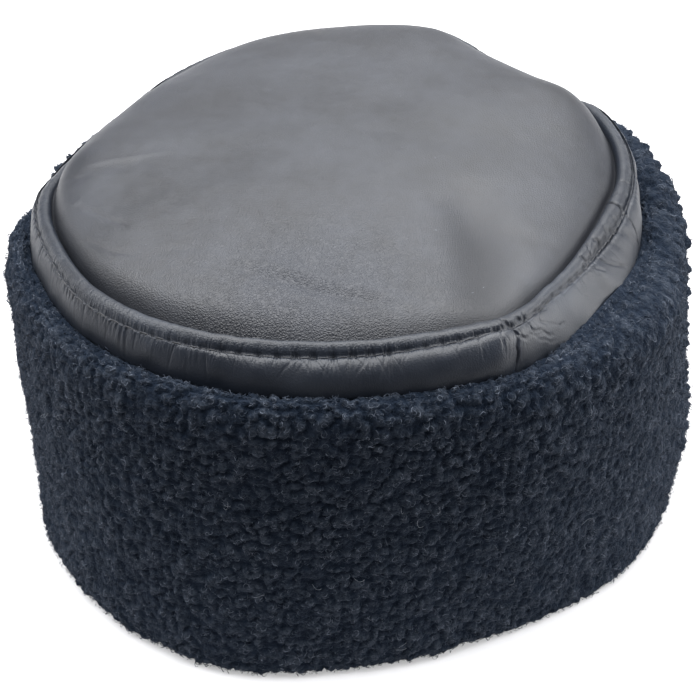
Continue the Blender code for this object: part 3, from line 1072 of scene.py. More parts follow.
@dataclass
class LeatherWall:
    """The strip of leather round the crown: the rolled seam, the line of stitches under it, and the wall with its
    gathers and folds, which turns in behind the fur."""

    form: HatForm
    finish: NappaLeather
    seed: int = 21

    # From each azimuth on, the degrees between the mesh's columns: fewest where the wall is seen best
    steps: tuple[tuple[float, float], ...] = (
        (188.0, 0.18),
        (242.0, 0.11),
        (315.0, 0.16),
        (345.0, 0.22),
        (368.0, 0.46),
        (548.0, 0.0),
    )

    # The roll's section, from the groove over its crest to the stitches: share of its width, and height. Where
    # the roll is narrower than its even width, it is lower too.
    roll: tuple[tuple[float, float], ...] = (
        (0.12, -5.2),
        (0.04, -3.0),
        (0.0, -1.0),
        (0.08, 0.7),
        (0.24, 1.6),
        (0.44, 1.75),
        (0.66, 1.2),
        (0.85, 0.1),
        (1.0, -1.4),
    )
    roll_rows: int = 17
    roll_width: float = 5.8

    # The wall's length from the stitches to its widest line, its rows near the stitches and below, and the share
    # of the way where the first give way to the second
    length: float = 18.0
    rows: tuple[int, int] = (7, 27)
    rows_meet: float = 0.16

    # The skirt behind the fur: its rows, how far apart they are, and how it turns in
    skirt_rows: int = 4
    skirt_step: float = 3.2
    skirt_turn: tuple[float, float] = (0.6, 0.5)

    # The stitches: their pitch, how deep and wide their holes are, and the valley that they pull
    stitch_pitch: float = 5.2
    hole: float = 0.34
    hole_width: float = 0.55
    valley: float = 0.26
    valley_deeper: tuple[Zone, ...] = (Zone(336.0, 9.0, 2.2), Zone(215.0, 32.0, -0.3), Zone(8.0, 24.0, -0.8))
    valley_width: float = 0.8
    valley_wider: Zone = Zone(336.0, 9.0, 0.6)

    # The most that puckers on top of each other draw the leather in, and how many degrees round from its start
    # one is drawn on the roll and on the wall
    most_drawn: float = 0.5
    roll_span: float = 4.0
    wall_span: float = 8.0

    # Soft unevenness of the roll and of the wall
    roll_ripples: tuple[Ripple, ...] = (
        Ripple(0.16, 2.4, 1 / 1.3, 3.0, 5, 150),
        Ripple(0.07, 0.9, 1 / 3.0, 3.0, 6, 400),
    )
    wall_ripple: Ripple = Ripple(0.25, 3.0, 1 / 2.2, 9.0, 8, 120)

    # For creases, a degree round the seam and the wall's height in millimetres, and how far off their paths waver
    degree: float = 1.73
    height: float = 12.0
    waver: float = 0.18

    # The grain's coordinates along the seam, and how hard and how far the finest gathers are drawn
    seam_radius: float = 97.0
    grain_stretch: float = 0.16
    gather_pull: float = 0.2
    gather_harder: tuple[Zone, ...] = (Zone(224.0, 27.0, 0.8), Zone(276.0, 20.0, 0.45))
    gather_reach: float = 6.0
    gather_further: Zone = Zone(224.0, 27.0, 7.0)

    # How worn the leather is, how much painted shade darkens it where it is drawn in, and over what length downwards it
    # fades into painted shade towards the fur; and how plainly the grain shows on the roll and on the wall
    worn: float = 0.75
    worn_less: float = 0.9
    worn_reach: float = 16.0
    grain_shows: tuple[float, float] = (0.9, 0.5)

    def sections(self) -> np.ndarray:
        """Azimuths of the mesh's columns, closer together where the wall is seen best."""
        stretches = [np.arange(start, end, step) for (start, step), (end, _) in zip(self.steps, self.steps[1:])]
        return np.sort(np.concatenate(stretches) % 360.0)

    def stitch_count(self) -> int:
        """Counts the stitches round the seam.

        Returns:
            How many of them fit at their pitch.
        """
        turn = np.radians(np.arange(360.0))
        radius = self.form.stitch_line(np.arange(360.0))
        x, y = radius * np.cos(turn), radius * np.sin(turn)
        length = float(np.hypot(np.diff(x, append=x[0]), np.diff(y, append=y[0])).sum())
        return round(length / self.stitch_pitch)

    def roll_section(self, azimuths: np.ndarray) -> tuple[np.ndarray, np.ndarray, np.ndarray]:
        """The rolled seam before it is creased.

        Args:
            azimuths: of the mesh's columns.

        Returns:
            Radii and heights, row by row, and each row's share of the way from the groove to the stitches.
        """
        section = np.array(self.roll)
        knots = np.linspace(0.0, 1.0, len(section))
        slopes = np.gradient(section, knots, axis=0)
        steps = np.linspace(0.0, 1.0, self.roll_rows, endpoint=False)
        start = np.minimum((steps * (len(section) - 1)).astype(int), len(section) - 2)
        t = ((steps - knots[start]) / knots[1])[:, None]
        ends, tilts = (section[start], section[start + 1]), (slopes[start], slopes[start + 1])
        across, rise = smooth_curve(ends, tilts, knots[1], t).T
        seam, width = self.form.around("seam", azimuths), self.form.around("width", azimuths)
        full = np.where(rise[:, None] > 0, np.clip(width / self.roll_width, 0.75, 1.0)[None, :], 1.0)
        radius = seam[None, :] + across[:, None] * width[None, :]
        deeper = (self.form.stitch_drop(azimuths) - self.form.stitch_depth)[None, :]
        sunk = deeper * ease((across[:, None] - 0.3) / 0.7)
        return radius, self.form.rim(azimuths)[None, :] + rise[:, None] * full - sunk, across

    def pucker_marks(self) -> list[Pucker]:
        """Draws the puckers at the stitches.

        Returns:
            All of them, round the seam.
        """
        chance = np.random.default_rng(self.seed)
        step = 360.0 / self.stitch_count()
        marks = []
        for stretch in PUCKERS:
            first, last = math.ceil(stretch.start / step), math.ceil(stretch.end / step)
            for number in stretch.count * list(range(first, last)):
                marks.append(
                    Pucker(
                        ((number + stretch.scatter * chance.uniform(-0.5, 0.5)) * step) % 360.0,
                        chance.normal(0.0, stretch.spread),
                        stretch.width * chance.uniform(0.6, 1.3),
                        stretch.depth * chance.uniform(0.25, 1.2),
                        stretch.roll_depth * chance.uniform(0.2, 1.2),
                        stretch.reach * chance.uniform(0.3, 1.15),
                    )
                )
        return marks

    def roll_relief(self, azimuths: np.ndarray, across: np.ndarray, marks: list[Pucker]) -> np.ndarray:
        """How far creases draw the roll in.

        Args:
            azimuths: of the mesh's columns.
            across: each row's share of the way to the stitches.
            marks: the puckers at the stitches.

        Returns:
            Depths, one row for each of across.
        """
        rows = across[:, None]
        up = 1 - rows
        drawn = np.zeros((len(across), len(azimuths)))
        for mark in marks:
            near = np.abs(turned_away(azimuths, mark.azimuth)) < self.roll_span
            away = turned_away(azimuths[None, near], mark.azimuth + 0.5 * mark.lean * up)
            drawn[:, near] += mark.roll_depth * bell(away, mark.width) * ease((0.35 + 0.5 * mark.reach - up) / 0.4)
        uneven = sum(ripple.at(azimuths[None, :], rows) for ripple in self.roll_ripples)
        return self.most_drawn * np.tanh(drawn / self.most_drawn) - ease(rows / 0.2) * uneven

    def wall_relief(self, azimuths: np.ndarray, down: np.ndarray, marks: list[Pucker]) -> np.ndarray:
        """How far stitches, puckers and folds draw the wall in.

        Args:
            azimuths: of the mesh's columns.
            down: of its rows, from the stitches, 0, to the widest line, 1.
            marks: the puckers at the stitches.

        Returns:
            Depths, one row for each of down.
        """
        rows = down[:, None]
        depth = np.zeros((len(down), len(azimuths)))
        for number, fold in enumerate(FOLDS):
            bent = fold.lean * rows + 0.4 * fold.width * np.sin(number + 6 * rows)
            away = turned_away(azimuths[None, :], fold.azimuth + bent)
            fade = ease((fold.reach - rows) / 0.5) * ease(0.3 + rows / 0.1)
            depth += fold.depth * bell(away, fold.width * (1 + 0.6 * rows)) * fade
        drawn = np.zeros_like(depth)
        for mark in marks:
            near = np.abs(turned_away(azimuths, mark.azimuth)) < self.wall_span
            away = turned_away(azimuths[None, near], mark.azimuth + mark.lean * rows)
            fade = np.clip(1 - rows / mark.reach, 0, 1) ** 0.8
            drawn[:, near] += mark.depth * bell(away, mark.width * (1 + 0.7 * rows)) * fade
        depth += self.most_drawn * np.tanh(drawn / self.most_drawn)
        return depth - self.wall_ripple.at(azimuths[None, :], rows) * ease(rows / 0.3)

    def wrinkle_relief(self, azimuths: np.ndarray, share: np.ndarray) -> np.ndarray:
        """How far the thin creases draw the leather in.

        Args:
            azimuths: of the mesh's columns.
            share: of its rows, from the groove, -1, over the stitches, 0, to the wall's widest line, 1.

        Returns:
            Depths, one row for each of share.
        """
        depth = np.zeros((len(share), len(azimuths)))
        for number, wrinkle in enumerate(WRINKLES):
            first = wrinkle.points[0][0]
            along = self.degree * turned_away(azimuths, first)
            path = np.array([(self.degree * (azimuth - first), self.height * down) for azimuth, down in wrinkle.points])
            near = (along > path[:, 0].min() - 3.0) & (along < path[:, 0].max() + 3.0)
            x, y = np.meshgrid(along[near], self.height * share)
            x = x + self.waver * soft_noise(x * 0 + 7.0 * number, y / 1.1 + 400, 61)
            y = y + self.waver * soft_noise(x / 1.1 + 400, y * 0 + 7.0 * number, 62)
            best, done = np.full(x.shape, 1e9), np.zeros(x.shape)
            length = np.hypot(*np.diff(path, axis=0).T)
            begun = np.concatenate([[0.0], np.cumsum(length)])
            for k, (start, end) in enumerate(zip(path, path[1:])):
                ahead = (end - start) / length[k]
                t = np.clip((x - start[0]) * ahead[0] + (y - start[1]) * ahead[1], 0.0, length[k])
                gap = np.hypot(x - start[0] - ahead[0] * t, y - start[1] - ahead[1] * t)
                done = np.where(gap < best, (begun[k] + t) / begun[-1], done)
                best = np.minimum(best, gap)
            fade = ease(0.35 + done / 0.25) * ease(0.2 + (1 - done) / 0.4)
            depth[:, near] += wrinkle.depth * bell(best, wrinkle.width) * fade
        return depth

    def seam_pull(self, azimuths: np.ndarray, run: np.ndarray) -> np.ndarray:
        """How far thread and holes draw the leather in.

        Args:
            azimuths: of the mesh's columns.
            run: of its rows, in millimetres from the stitches.

        Returns:
            Depths, one row for each of run.
        """
        rows = run[:, None]
        beat = 0.5 + 0.5 * np.cos(np.radians(azimuths)[None, :] * self.stitch_count())
        deep = self.valley * (1.0 + zoned(azimuths, *self.valley_deeper))[None, :]
        wide = (self.valley_width + zoned(azimuths, self.valley_wider))[None, :]
        return deep * bell(rows, wide) + self.hole * beat**5 * bell(rows, self.hole_width)

    def dress(self, piece: bpy.types.Object, azimuths: np.ndarray, run: np.ndarray, drawn: np.ndarray) -> None:
        """Stores what the finish reads, and gives the wall its finish.

        Args:
            piece: the wall.
            azimuths: of its columns.
            run: of its rows, in millimetres from the stitches.
            drawn: how far each point is drawn in.
        """
        turn, rows = np.radians(azimuths)[None, :], run[:, None]
        x, y = self.seam_radius * np.cos(turn), self.seam_radius * np.sin(turn)
        seam = np.stack(np.broadcast_arrays(x, y, self.grain_stretch * rows), axis=-1)
        add_attribute(piece, "seam", seam.reshape(-1, 3))
        reach = self.gather_reach + zoned(azimuths, self.gather_further)
        pulled = np.where(rows < 0, bell(rows, 2.2), np.clip(1 - rows / reach, 0, 1))
        add_attribute(piece, "gather", pulled * (self.gather_pull + zoned(azimuths, *self.gather_harder)))
        # Wear, darkened by painted shade where the leather is drawn in and towards the fur below
        worn = np.clip(self.worn - self.worn_less * drawn, 0.0, 1.2)
        add_attribute(piece, "wear_and_shade", worn * np.clip(1.1 - rows / self.worn_reach, 0.2, 1))
        add_attribute(piece, "grain", np.repeat(np.where(run < 0, *self.grain_shows), len(azimuths)))
        finished(piece, self.finish.material())

    def build(self) -> bpy.types.Object:
        """Makes the wall.

        Returns:
            The piece.
        """
        azimuths = self.sections()
        marks = self.pucker_marks()
        roll_r, roll_z, across = self.roll_section(azimuths)
        upper, lower = self.rows
        down = np.concatenate(
            [np.linspace(0, self.rows_meet, upper, endpoint=False), np.linspace(self.rows_meet, 1.0, lower)]
        )
        wall_r, wall_z = self.form.shoulder(azimuths[None, :], down[:, None])
        run = np.concatenate([self.roll_width * (across - 1.0), self.length * down])
        inward = np.concatenate([self.roll_relief(azimuths, across, marks), self.wall_relief(azimuths, down, marks)])
        inward += self.wrinkle_relief(azimuths, np.concatenate([across - 1.0, down]))
        inward += self.seam_pull(azimuths, run)
        radius, height = np.concatenate([roll_r, wall_r]), np.concatenate([roll_z, wall_z])
        slope_r, slope_z = np.gradient(radius, axis=0), np.gradient(height, axis=0)
        size = np.hypot(slope_r, slope_z) + 1e-9
        radius, height = radius + inward * slope_z / size, height - inward * slope_r / size
        rows = np.arange(1, self.skirt_rows + 1)[:, None]
        radii = np.concatenate([radius, radius[-1] - self.skirt_turn[0] * rows - self.skirt_turn[1] * rows**2])
        heights = np.concatenate([height, height[-1] - self.skirt_step * rows])
        points = self.form.place(azimuths[None, :], radii, heights).reshape(-1, 3)
        piece = mesh_object("crown_wall", points, grid_faces(len(radii), len(azimuths), around=True))
        run = np.concatenate([run, self.length + self.skirt_step * rows[:, 0]])
        self.dress(piece, azimuths, run, np.concatenate([inward, np.zeros((self.skirt_rows, len(azimuths)))]))
        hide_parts(Node.WALL.value)
        return piece


@dataclass
class Topstitching:
    """The line of stitches under the rolled seam: short lengths of thread that dive into the leather."""

    form: HatForm
    count: int
    finish: Thread

    # Radius of the thread, the share of the pitch that a stitch shows, and its mesh
    thread: float = 0.17
    share: float = 0.7
    rings: int = 7
    sides: int = 6

    # How far a stitch stands off the seam, how far its ends dive in, and where it is pulled in deeper
    proud: float = 0.12
    dive: float = 0.9
    sunk: Zone = Zone(8.0, 24.0, 0.45)

    def build(self) -> bpy.types.Object:
        """Makes the stitches as one mesh.

        Returns:
            The piece.
        """
        step = 360.0 / self.count
        t = np.linspace(-0.5, 0.5, self.rings)
        azimuths = (np.arange(self.count) + 0.5)[:, None] * step + t[None, :] * step * self.share
        height = self.form.rim(azimuths) - self.form.stitch_drop(azimuths) - zoned(azimuths, self.sunk)
        height += self.proud - self.dive * np.abs(2 * t) ** 4
        lines = self.form.place(azimuths, self.form.stitch_line(azimuths), height)
        piece = mesh_object("topstitching", *tubes(lines, (0.0, 0.0, 1.0), self.thread, self.sides))
        return finished(piece, self.finish.material())


# Sheepskin


class Swell(NamedTuple):
    """A place where the pile stands fuller, or thinner: its azimuth and half width in degrees, its place and half
    length along the pile's section, and how far out."""

    azimuth: float
    width: float
    run: float
    length: float
    out: float


SWELLS = (
    Swell(348.0, 13.0, 40.0, 26.0, 4.6),
    Swell(345.0, 7.0, 99.0, 7.0, -2.8),
    Swell(19.0, 11.0, 104.0, 12.0, 2.2),
    Swell(205.0, 10.0, 12.0, 9.0, 1.8),
    Swell(230.0, 14.0, 2.0, 6.0, -1.6),
    Swell(174.0, 7.0, 104.0, 14.0, -3.4),
    Swell(318.0, 8.0, 4.0, 5.0, 0.8),
)


@dataclass
class CurlField:
    """Where the curls of the sheepskin grow: a jittered lattice over the outside of the band, unrolled into
    millimetres round the hat and along the pile's section."""

    form: HatForm
    seed: int = 5

    # The lattice: millimetres between the curls, the band's mean radius, and how far a curl shifts in its cell
    spacing: float = 3.0
    mean_radius: float = 114.0
    jitter: tuple[float, float] = (0.2, 0.8)

    # The curls: how high they are and which share of that is their mean, the least and most radius of one in cells,
    # its share of the height, and how deep its middle is dented, where that is above 0
    curl_depth: float = 1.5
    mean_curl: float = 0.6
    radii: tuple[float, float] = (0.46, 0.74)
    heights: tuple[float, float] = (0.45, 1.0)
    dents: tuple[float, float] = (-0.6, 0.5)

    # How the curls waver round and along the hat, in cells, and the frizz on them
    wavers: tuple[Ripple, Ripple] = (Ripple(0.3, 1.2, 2.0, 0.0, 51, 300), Ripple(0.3, 1.2, 2.0, 0.0, 52, 300))
    frizz: Ripple = Ripple(0.22, 0.4, 0.8, 3.0, 41, 900)

    # Where the curls are flatter, and where the tallest stand out: a little all round, and at the right rear and
    # on the crest at the left rear, where tufts show against the light; and where along the section the crest
    # starts, and over what length the tufts grow there
    flatter: Zone = Zone(335.0, 26.0, 0.3)
    tufts: float = 0.3
    side_tufts: Zone = Zone(12.0, 34.0, 1.9)
    crest_tufts: Zone = Zone(161.0, 9.0, 3.8)
    crest_start: float = 78.0
    crest_growth: float = 18.0

    # The pile's broad waves and its lumps: how strong the lumps are all round, how much more at the right rear, and
    # where along the section that starts, and over what length it grows
    wave: Ripple = Ripple(0.4, 7.5, 14.0, 5.0, 31, 48)
    lump: Ripple = Ripple(0.9, 2.5, 5.0, 5.0, 32, 144)
    lumps: float = 0.4
    lumpier: Zone = Zone(18.0, 28.0, 1.3)
    lumps_start: float = 60.0
    lumps_growth: float = 30.0

    # How much painted shade darkens the pile at the leather, over what length, and the zone at the right rear where
    # more painted shade darkens it
    lip_shade: float = 0.5
    shade_length: float = 7.0
    shadier: Zone = Zone(14.0, 30.0, 0.25)

    # Over which lengths at its foot and at its lip the pile calms down
    calm_lengths: tuple[float, float] = (4.0, 5.0)

    def __post_init__(self) -> None:
        """Draws the lattice."""
        chance = np.random.default_rng(self.seed)
        self.across = round(2 * math.pi * self.mean_radius / self.spacing)
        self.along = math.ceil(self.form.pile_run / self.spacing) + 1
        shape = (self.across, self.along)
        self.jitter_u = chance.uniform(*self.jitter, shape)
        self.jitter_v = chance.uniform(*self.jitter, shape)
        self.size = chance.uniform(*self.radii, shape)
        self.height = chance.uniform(*self.heights, shape)
        self.dented = chance.uniform(*self.dents, shape).clip(0.0)
        self.standing = chance.uniform(0.0, 1.0, shape) ** 4

    def curls(self, azimuths: np.ndarray, run: np.ndarray) -> tuple[np.ndarray, np.ndarray]:
        """The curls in relief, as overlapping domes, some with a dent in the middle.

        Args:
            azimuths: of places on the pile.
            run: of the same places, along the pile's section.

        Returns:
            Height of the curls there, from 0 in the furrows to 1, and how far the tallest of them stand.
        """
        u = azimuths / 360.0 * self.across + self.wavers[0].at(azimuths, run)
        v = run / self.spacing + self.wavers[1].at(azimuths, run)
        column, row = np.floor(u).astype(int), np.floor(v).astype(int)
        best, tall = np.zeros(np.broadcast(u, v).shape), np.zeros(np.broadcast(u, v).shape)
        for du, dv in np.ndindex(3, 3):
            i = (column + du - 1) % self.across
            j = np.clip(row + dv - 1, 0, self.along - 1)
            off_u = u - (column + du - 1) - self.jitter_u[i, j]
            off_v = v - (row + dv - 1) - self.jitter_v[i, j]
            gap = (off_u**2 + off_v**2) / self.size[i, j] ** 2
            dome = np.clip(1 - gap, 0, 1)
            dent = self.dented[i, j] * np.exp(-gap / 0.06)
            best = np.maximum(best, dome**0.8 * self.height[i, j] * (1 - dent))
            tall = np.maximum(tall, dome * self.standing[i, j])
        return best, tall

    def waves(self, azimuths: np.ndarray, run: np.ndarray) -> np.ndarray:
        """Broad unevenness of the pile, roughest at the right rear.

        Args:
            azimuths: of places on the pile.
            run: of the same places, along the pile's section.

        Returns:
            Millimetres outwards.
        """
        lumps = self.lumps + zoned(azimuths, self.lumpier) * ease((run - self.lumps_start) / self.lumps_growth)
        out = self.wave.at(azimuths, run) + lumps * self.lump.at(azimuths, run)
        for swell in SWELLS:
            zone = Zone(swell.azimuth, swell.width, swell.out)
            out = out + zoned(azimuths, zone) * bell(run - swell.run, swell.length)
        return out

    def relief(self, azimuths: np.ndarray, run: np.ndarray) -> tuple[np.ndarray, np.ndarray]:
        """How far the pile departs from its even form.

        Args:
            azimuths: of places on the pile.
            run: of the same places, along the pile's section.

        Returns:
            Millimetres outwards, and how light the curls are painted: painted highlight on their tops, painted shade in
            the furrows, by the leather and at the right rear.
        """
        curls, tall = self.curls(azimuths, run)
        crest = ease((run - self.crest_start) / self.crest_growth)
        tufted = self.tufts + zoned(azimuths, self.side_tufts) + zoned(azimuths, self.crest_tufts) * crest
        out = self.curl_depth * (1 - zoned(azimuths, self.flatter)) * (curls - self.mean_curl)
        out += self.waves(azimuths, run) + tufted * tall + self.frizz.at(azimuths, run)
        left = self.form.pile_run - run
        # Painted shade on the pile by the leather and at the right rear
        lit = 1 - self.lip_shade + self.lip_shade * ease(left / self.shade_length)
        foot, lip = self.calm_lengths
        return out * ease(run / foot) * ease(left / lip + 0.3), curls * (lit * (1 - zoned(azimuths, self.shadier)))

    def skin(self, azimuths: np.ndarray, run: np.ndarray, lift: np.ndarray | float) -> tuple[np.ndarray, np.ndarray]:
        """Points on the pile.

        Args:
            azimuths: where they are round the hat.
            run: and along the pile's section.
            lift: how far they stand off its surface.

        Returns:
            The points, and how light the curls are painted there.
        """
        radius, height = self.form.pile(azimuths, run)
        low_r, low_z = self.form.pile(azimuths, run - 0.4)
        high_r, high_z = self.form.pile(azimuths, run + 0.4)
        slope_r, slope_z = high_r - low_r, high_z - low_z
        size = np.hypot(slope_r, slope_z) + 1e-9
        out, curls = self.relief(azimuths, run)
        out = out + lift
        height = np.maximum(height - out * slope_r / size, 0.0)
        return self.form.place(azimuths, radius + out * slope_z / size, height), curls

    def roots(self) -> tuple[np.ndarray, np.ndarray, np.ndarray]:
        """Lists the curls.

        Returns:
            Azimuth, run and height share of every curl on the pile.
        """
        i, j = np.meshgrid(np.arange(self.across), np.arange(self.along), indexing="ij")
        azimuths = (i + self.jitter_u) / self.across * 360.0
        run = (j + self.jitter_v) * self.spacing
        kept = (run > 1.0) & (run < self.form.pile_run - 1.0)
        return azimuths[kept], run[kept], self.height[kept]


@dataclass
class FleeceBand:
    """The body of the band: hide inside, and outside the closed surface of the pile with its curls in relief. It
    is made in two halves round the hat."""

    form: HatForm
    field: CurlField
    finish: CurlySheepskin

    # Columns round the hat, and millimetres between the rows of the pile
    sections: int = 960
    step: float = 0.8

    # How light the hide inside is, between the roots of the wool, 0, and its tips
    hide_tone: float = 0.2

    def hide(self, azimuths: np.ndarray) -> np.ndarray:
        """The inside of the band.

        Args:
            azimuths: of its columns.

        Returns:
            Its points, row by row, from the lip down to the shelf.
        """
        inside = self.form.around("fur_base", azimuths) - self.form.band_thickness
        lip = self.form.around("wall", azimuths)
        rows = (
            (lip + 0.5, 98.5),
            (lip + 0.4, 95.0),
            (inside + 0.1 * (lip - inside), 86.0),
            (inside, 60.0),
            (inside, 0.0),
        )
        return np.array([self.form.place(azimuths, radius, np.full(len(azimuths), height)) for radius, height in rows])

    def build(self) -> list[bpy.types.Object]:
        """Makes the two halves of the band.

        Returns:
            The pieces.
        """
        run = np.arange(0.0, self.form.pile_run + self.step / 2, self.step)
        material = self.finish.material()
        made = []
        for name, first in (("fleece_front", 180.0), ("fleece_rear", 0.0)):
            azimuths = first + np.linspace(0.0, 180.0, self.sections // 2 + 1)
            pile, curls = self.field.skin(*np.meshgrid(azimuths, run, indexing="xy"), 0.0)
            points = np.concatenate([pile, self.hide(azimuths), pile[:1]])
            faces = grid_faces(len(points), len(azimuths), around=False)
            piece = mesh_object(name, points.reshape(-1, 3), faces)
            inside = np.full((len(points) - len(pile), len(azimuths)), self.hide_tone)
            # The pile's painted light: painted highlight on the curls, painted shade in the furrows and by the leather
            add_attribute(piece, "tip", np.concatenate([curls, inside]).ravel())
            finished(piece, material)
            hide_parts(Node.BAND.value)
            made.append(piece)
        return made


@dataclass
class WoolCurls:
    """The wool on the curls: fine frizzy strands that lie on them in small arcs, a few of which stand up."""

    form: HatForm
    field: CurlField
    finish: CurlySheepskin
    pieces: int = 3
    seed: int = 77

    # Strands on a curl, their joints and width, and how far their arcs scatter from the curl's middle
    strands: int = 5
    joints: int = 5
    width: float = 0.2
    scatter: float = 0.85

    # An arc: its radius, the least and most share of it, and the least and most half turns that it makes
    ring: float = 0.8
    ring_shares: tuple[float, float] = (0.6, 1.6)
    half_turns: tuple[float, float] = (0.4, 1.3)

    # How far a strand lies off the pile at its ends, how much higher its middle is, and how much more that is in
    # a strand that stands up; and how unevenly strands are turned
    off_pile: float = 0.08
    arch: float = 0.25
    loose_arch: float = 1.0
    tilt: float = 0.45

    def lines(self) -> tuple[np.ndarray, np.ndarray, np.ndarray]:
        """Centre lines of all strands.

        Returns:
            The points (strand, joint, xyz), the side of each strand there, and how light it is painted there.
        """
        chance = np.random.default_rng(self.seed)
        azimuths, run, height = (np.repeat(column, self.strands) for column in self.field.roots())
        count = len(azimuths)
        phase = chance.uniform(0, 2 * np.pi, count)
        hand = np.repeat(chance.choice([-1.0, 1.0], count // self.strands), self.strands)
        wind = chance.uniform(*self.half_turns, count) * np.pi * hand
        ring = self.ring * chance.uniform(*self.ring_shares, count)
        side, rear = chance.normal(0, self.scatter, count), chance.normal(0, self.scatter, count)
        t = np.linspace(0.0, 1.0, self.joints)[None, :]
        angle = phase[:, None] + wind[:, None] * t
        reach = ring[:, None] * (1.15 - 0.5 * t)
        side = side[:, None] + reach * np.cos(angle)
        rear = rear[:, None] + 0.85 * reach * np.sin(angle)
        where = azimuths[:, None] + np.degrees(side / self.field.mean_radius)
        along = np.clip(run[:, None] + rear, 0.3, self.form.pile_run - 0.3)
        loose = chance.uniform(0, 1, count) ** 4
        lift = self.off_pile + (self.arch + self.loose_arch * loose[:, None]) * np.sin(np.pi * (0.1 + 0.8 * t))
        points, curls = self.field.skin(where, along, lift)
        base, _ = self.field.skin(where, along, 0.0)
        out = points - base
        out /= np.linalg.norm(out, axis=-1, keepdims=True) + 1e-9
        out = out + chance.normal(0, self.tilt, (count, 1, 3))
        beside = np.cross(np.gradient(points, axis=1), out)
        beside /= np.linalg.norm(beside, axis=-1, keepdims=True) + 1e-9
        # A strand's own random tone, with painted highlight on tall curls and the curls' painted shade in the furrows
        bright = 0.2 + 0.4 * height + 0.9 * chance.uniform(0, 1, count) ** 3
        return points, beside, bright[:, None] * (0.4 + 0.6 * curls)

    def build(self) -> list[bpy.types.Object]:
        """Makes the strands as narrow strips, a few pieces round the hat.

        Returns:
            The pieces.
        """
        points, beside, shade = self.lines()
        taper = self.width / 2 * (1 - 0.7 * np.linspace(-0.4, 1, self.joints) ** 2)
        offset = beside * taper[None, :, None]
        both = np.stack([points - offset, points + offset], axis=2)
        both[..., 2] = np.maximum(both[..., 2], 0.02)
        strip = grid_faces(self.joints, 2, around=False)
        material = self.finish.material()
        made = []
        for number, chosen in enumerate(np.array_split(np.arange(len(points)), self.pieces), 1):
            first = (np.arange(len(chosen)) * self.joints * 2)[:, None, None]
            faces = (strip[None] + first).reshape(-1, 4)
            piece = mesh_object(f"wool_curls_{number}", both[chosen].reshape(-1, 3), faces)
            add_attribute(piece, "tip", np.repeat(shade[chosen].reshape(-1), 2))
            made.append(finished(piece, material))
        return made


@dataclass
class LooseFibres:
    """Single pale wool fibres that stand off the pile, and specks of lint on the leather."""

    form: HatForm
    finish: Thread
    seed: int = 9

    # How many there are, the radius of each kind, and their mesh
    fibres: int = 46
    specks: int = 16
    fibre_radius: float = 0.045
    speck_radius: float = 0.055
    joints: int = 8
    sides: int = 3

    # How far off the pile's even form a fibre starts, and how far it bows out; how high lint lies on the panel
    stand_off: float = 1.5
    bow: float = 1.0
    lint_lift: float = 0.25

    def fibre_lines(self, chance: np.random.Generator) -> np.ndarray:
        """Draws the fibres caught in the fur.

        Args:
            chance: the source of random numbers.

        Returns:
            Their centre lines (fibre, joint, xyz).
        """
        azimuths = chance.uniform(0, 360, self.fibres)
        run = chance.uniform(12, self.form.pile_run - 4, self.fibres)
        radius, level = self.form.pile(azimuths, run)
        turn = np.radians(azimuths)
        outward = np.stack([np.cos(turn), np.sin(turn), np.zeros(self.fibres)], axis=-1)[:, None, :]
        sideways = np.stack([-np.sin(turn), np.cos(turn), np.zeros(self.fibres)], axis=-1)[:, None, :]
        upward = np.array([0.0, 0.0, 1.0])
        t = np.linspace(0, 1, self.joints)[None, :, None]
        length = chance.uniform(1.5, 4.5, self.fibres)[:, None, None]
        heading = chance.uniform(0, 2 * np.pi, self.fibres)[:, None, None]
        bend = chance.normal(0, 1.3, self.fibres)[:, None, None]
        angle = heading + bend * t
        start = self.form.place(azimuths, radius, level)[:, None, :]
        flat = length * t * (np.cos(angle) * sideways + np.sin(angle) * upward)
        return start + flat + outward * (self.stand_off + self.bow * np.sin(np.pi * t))

    def speck_lines(self, chance: np.random.Generator) -> np.ndarray:
        """Draws the lint that lies on the panel.

        Args:
            chance: the source of random numbers.

        Returns:
            Its centre lines (speck, joint, xyz).
        """
        azimuths = chance.uniform(0, 360, self.specks)
        share = np.sqrt(chance.uniform(0, 0.85, self.specks))
        heading = chance.uniform(0, 2 * np.pi, self.specks)
        length = chance.uniform(0.25, 0.8, self.specks)
        t = np.linspace(-0.5, 0.5, self.joints)
        radius = share * self.form.around("seam", azimuths)
        x = (radius * np.cos(np.radians(azimuths)))[:, None] + np.outer(length * np.cos(heading), t)
        y = (radius * np.sin(np.radians(azimuths)))[:, None] + np.outer(length * np.sin(heading), t)
        where, radius = np.degrees(np.arctan2(y, x)) % 360, np.hypot(x, y)
        height = self.form.dome(where, radius / self.form.around("seam", where)) + self.lint_lift
        return self.form.place(where, radius, height)

    def build(self) -> list[bpy.types.Object]:
        """Makes the fibres and the lint.

        Returns:
            The pieces.
        """
        chance = np.random.default_rng(self.seed)
        material = self.finish.material()
        made = []
        for name, lines, radius, slot in (
            ("loose_fibres", self.fibre_lines(chance), self.fibre_radius, Slot.SHEEPSKIN),
            ("lint", self.speck_lines(chance), self.speck_radius, Slot.PANEL),
        ):
            piece = mesh_object(name, *tubes(lines, (0.3, 0.2, 1.0), radius, self.sides))
            made.append(finished(piece, material))
        return made


# Studio


@dataclass(frozen=True)
class Softbox:
    """A large soft light: where it stands, in metres, its width and height, its power and its colour."""

    name: str
    place: tuple[float, float, float]
    size: tuple[float, float]
    watts: float
    colour: str = "ffffff"


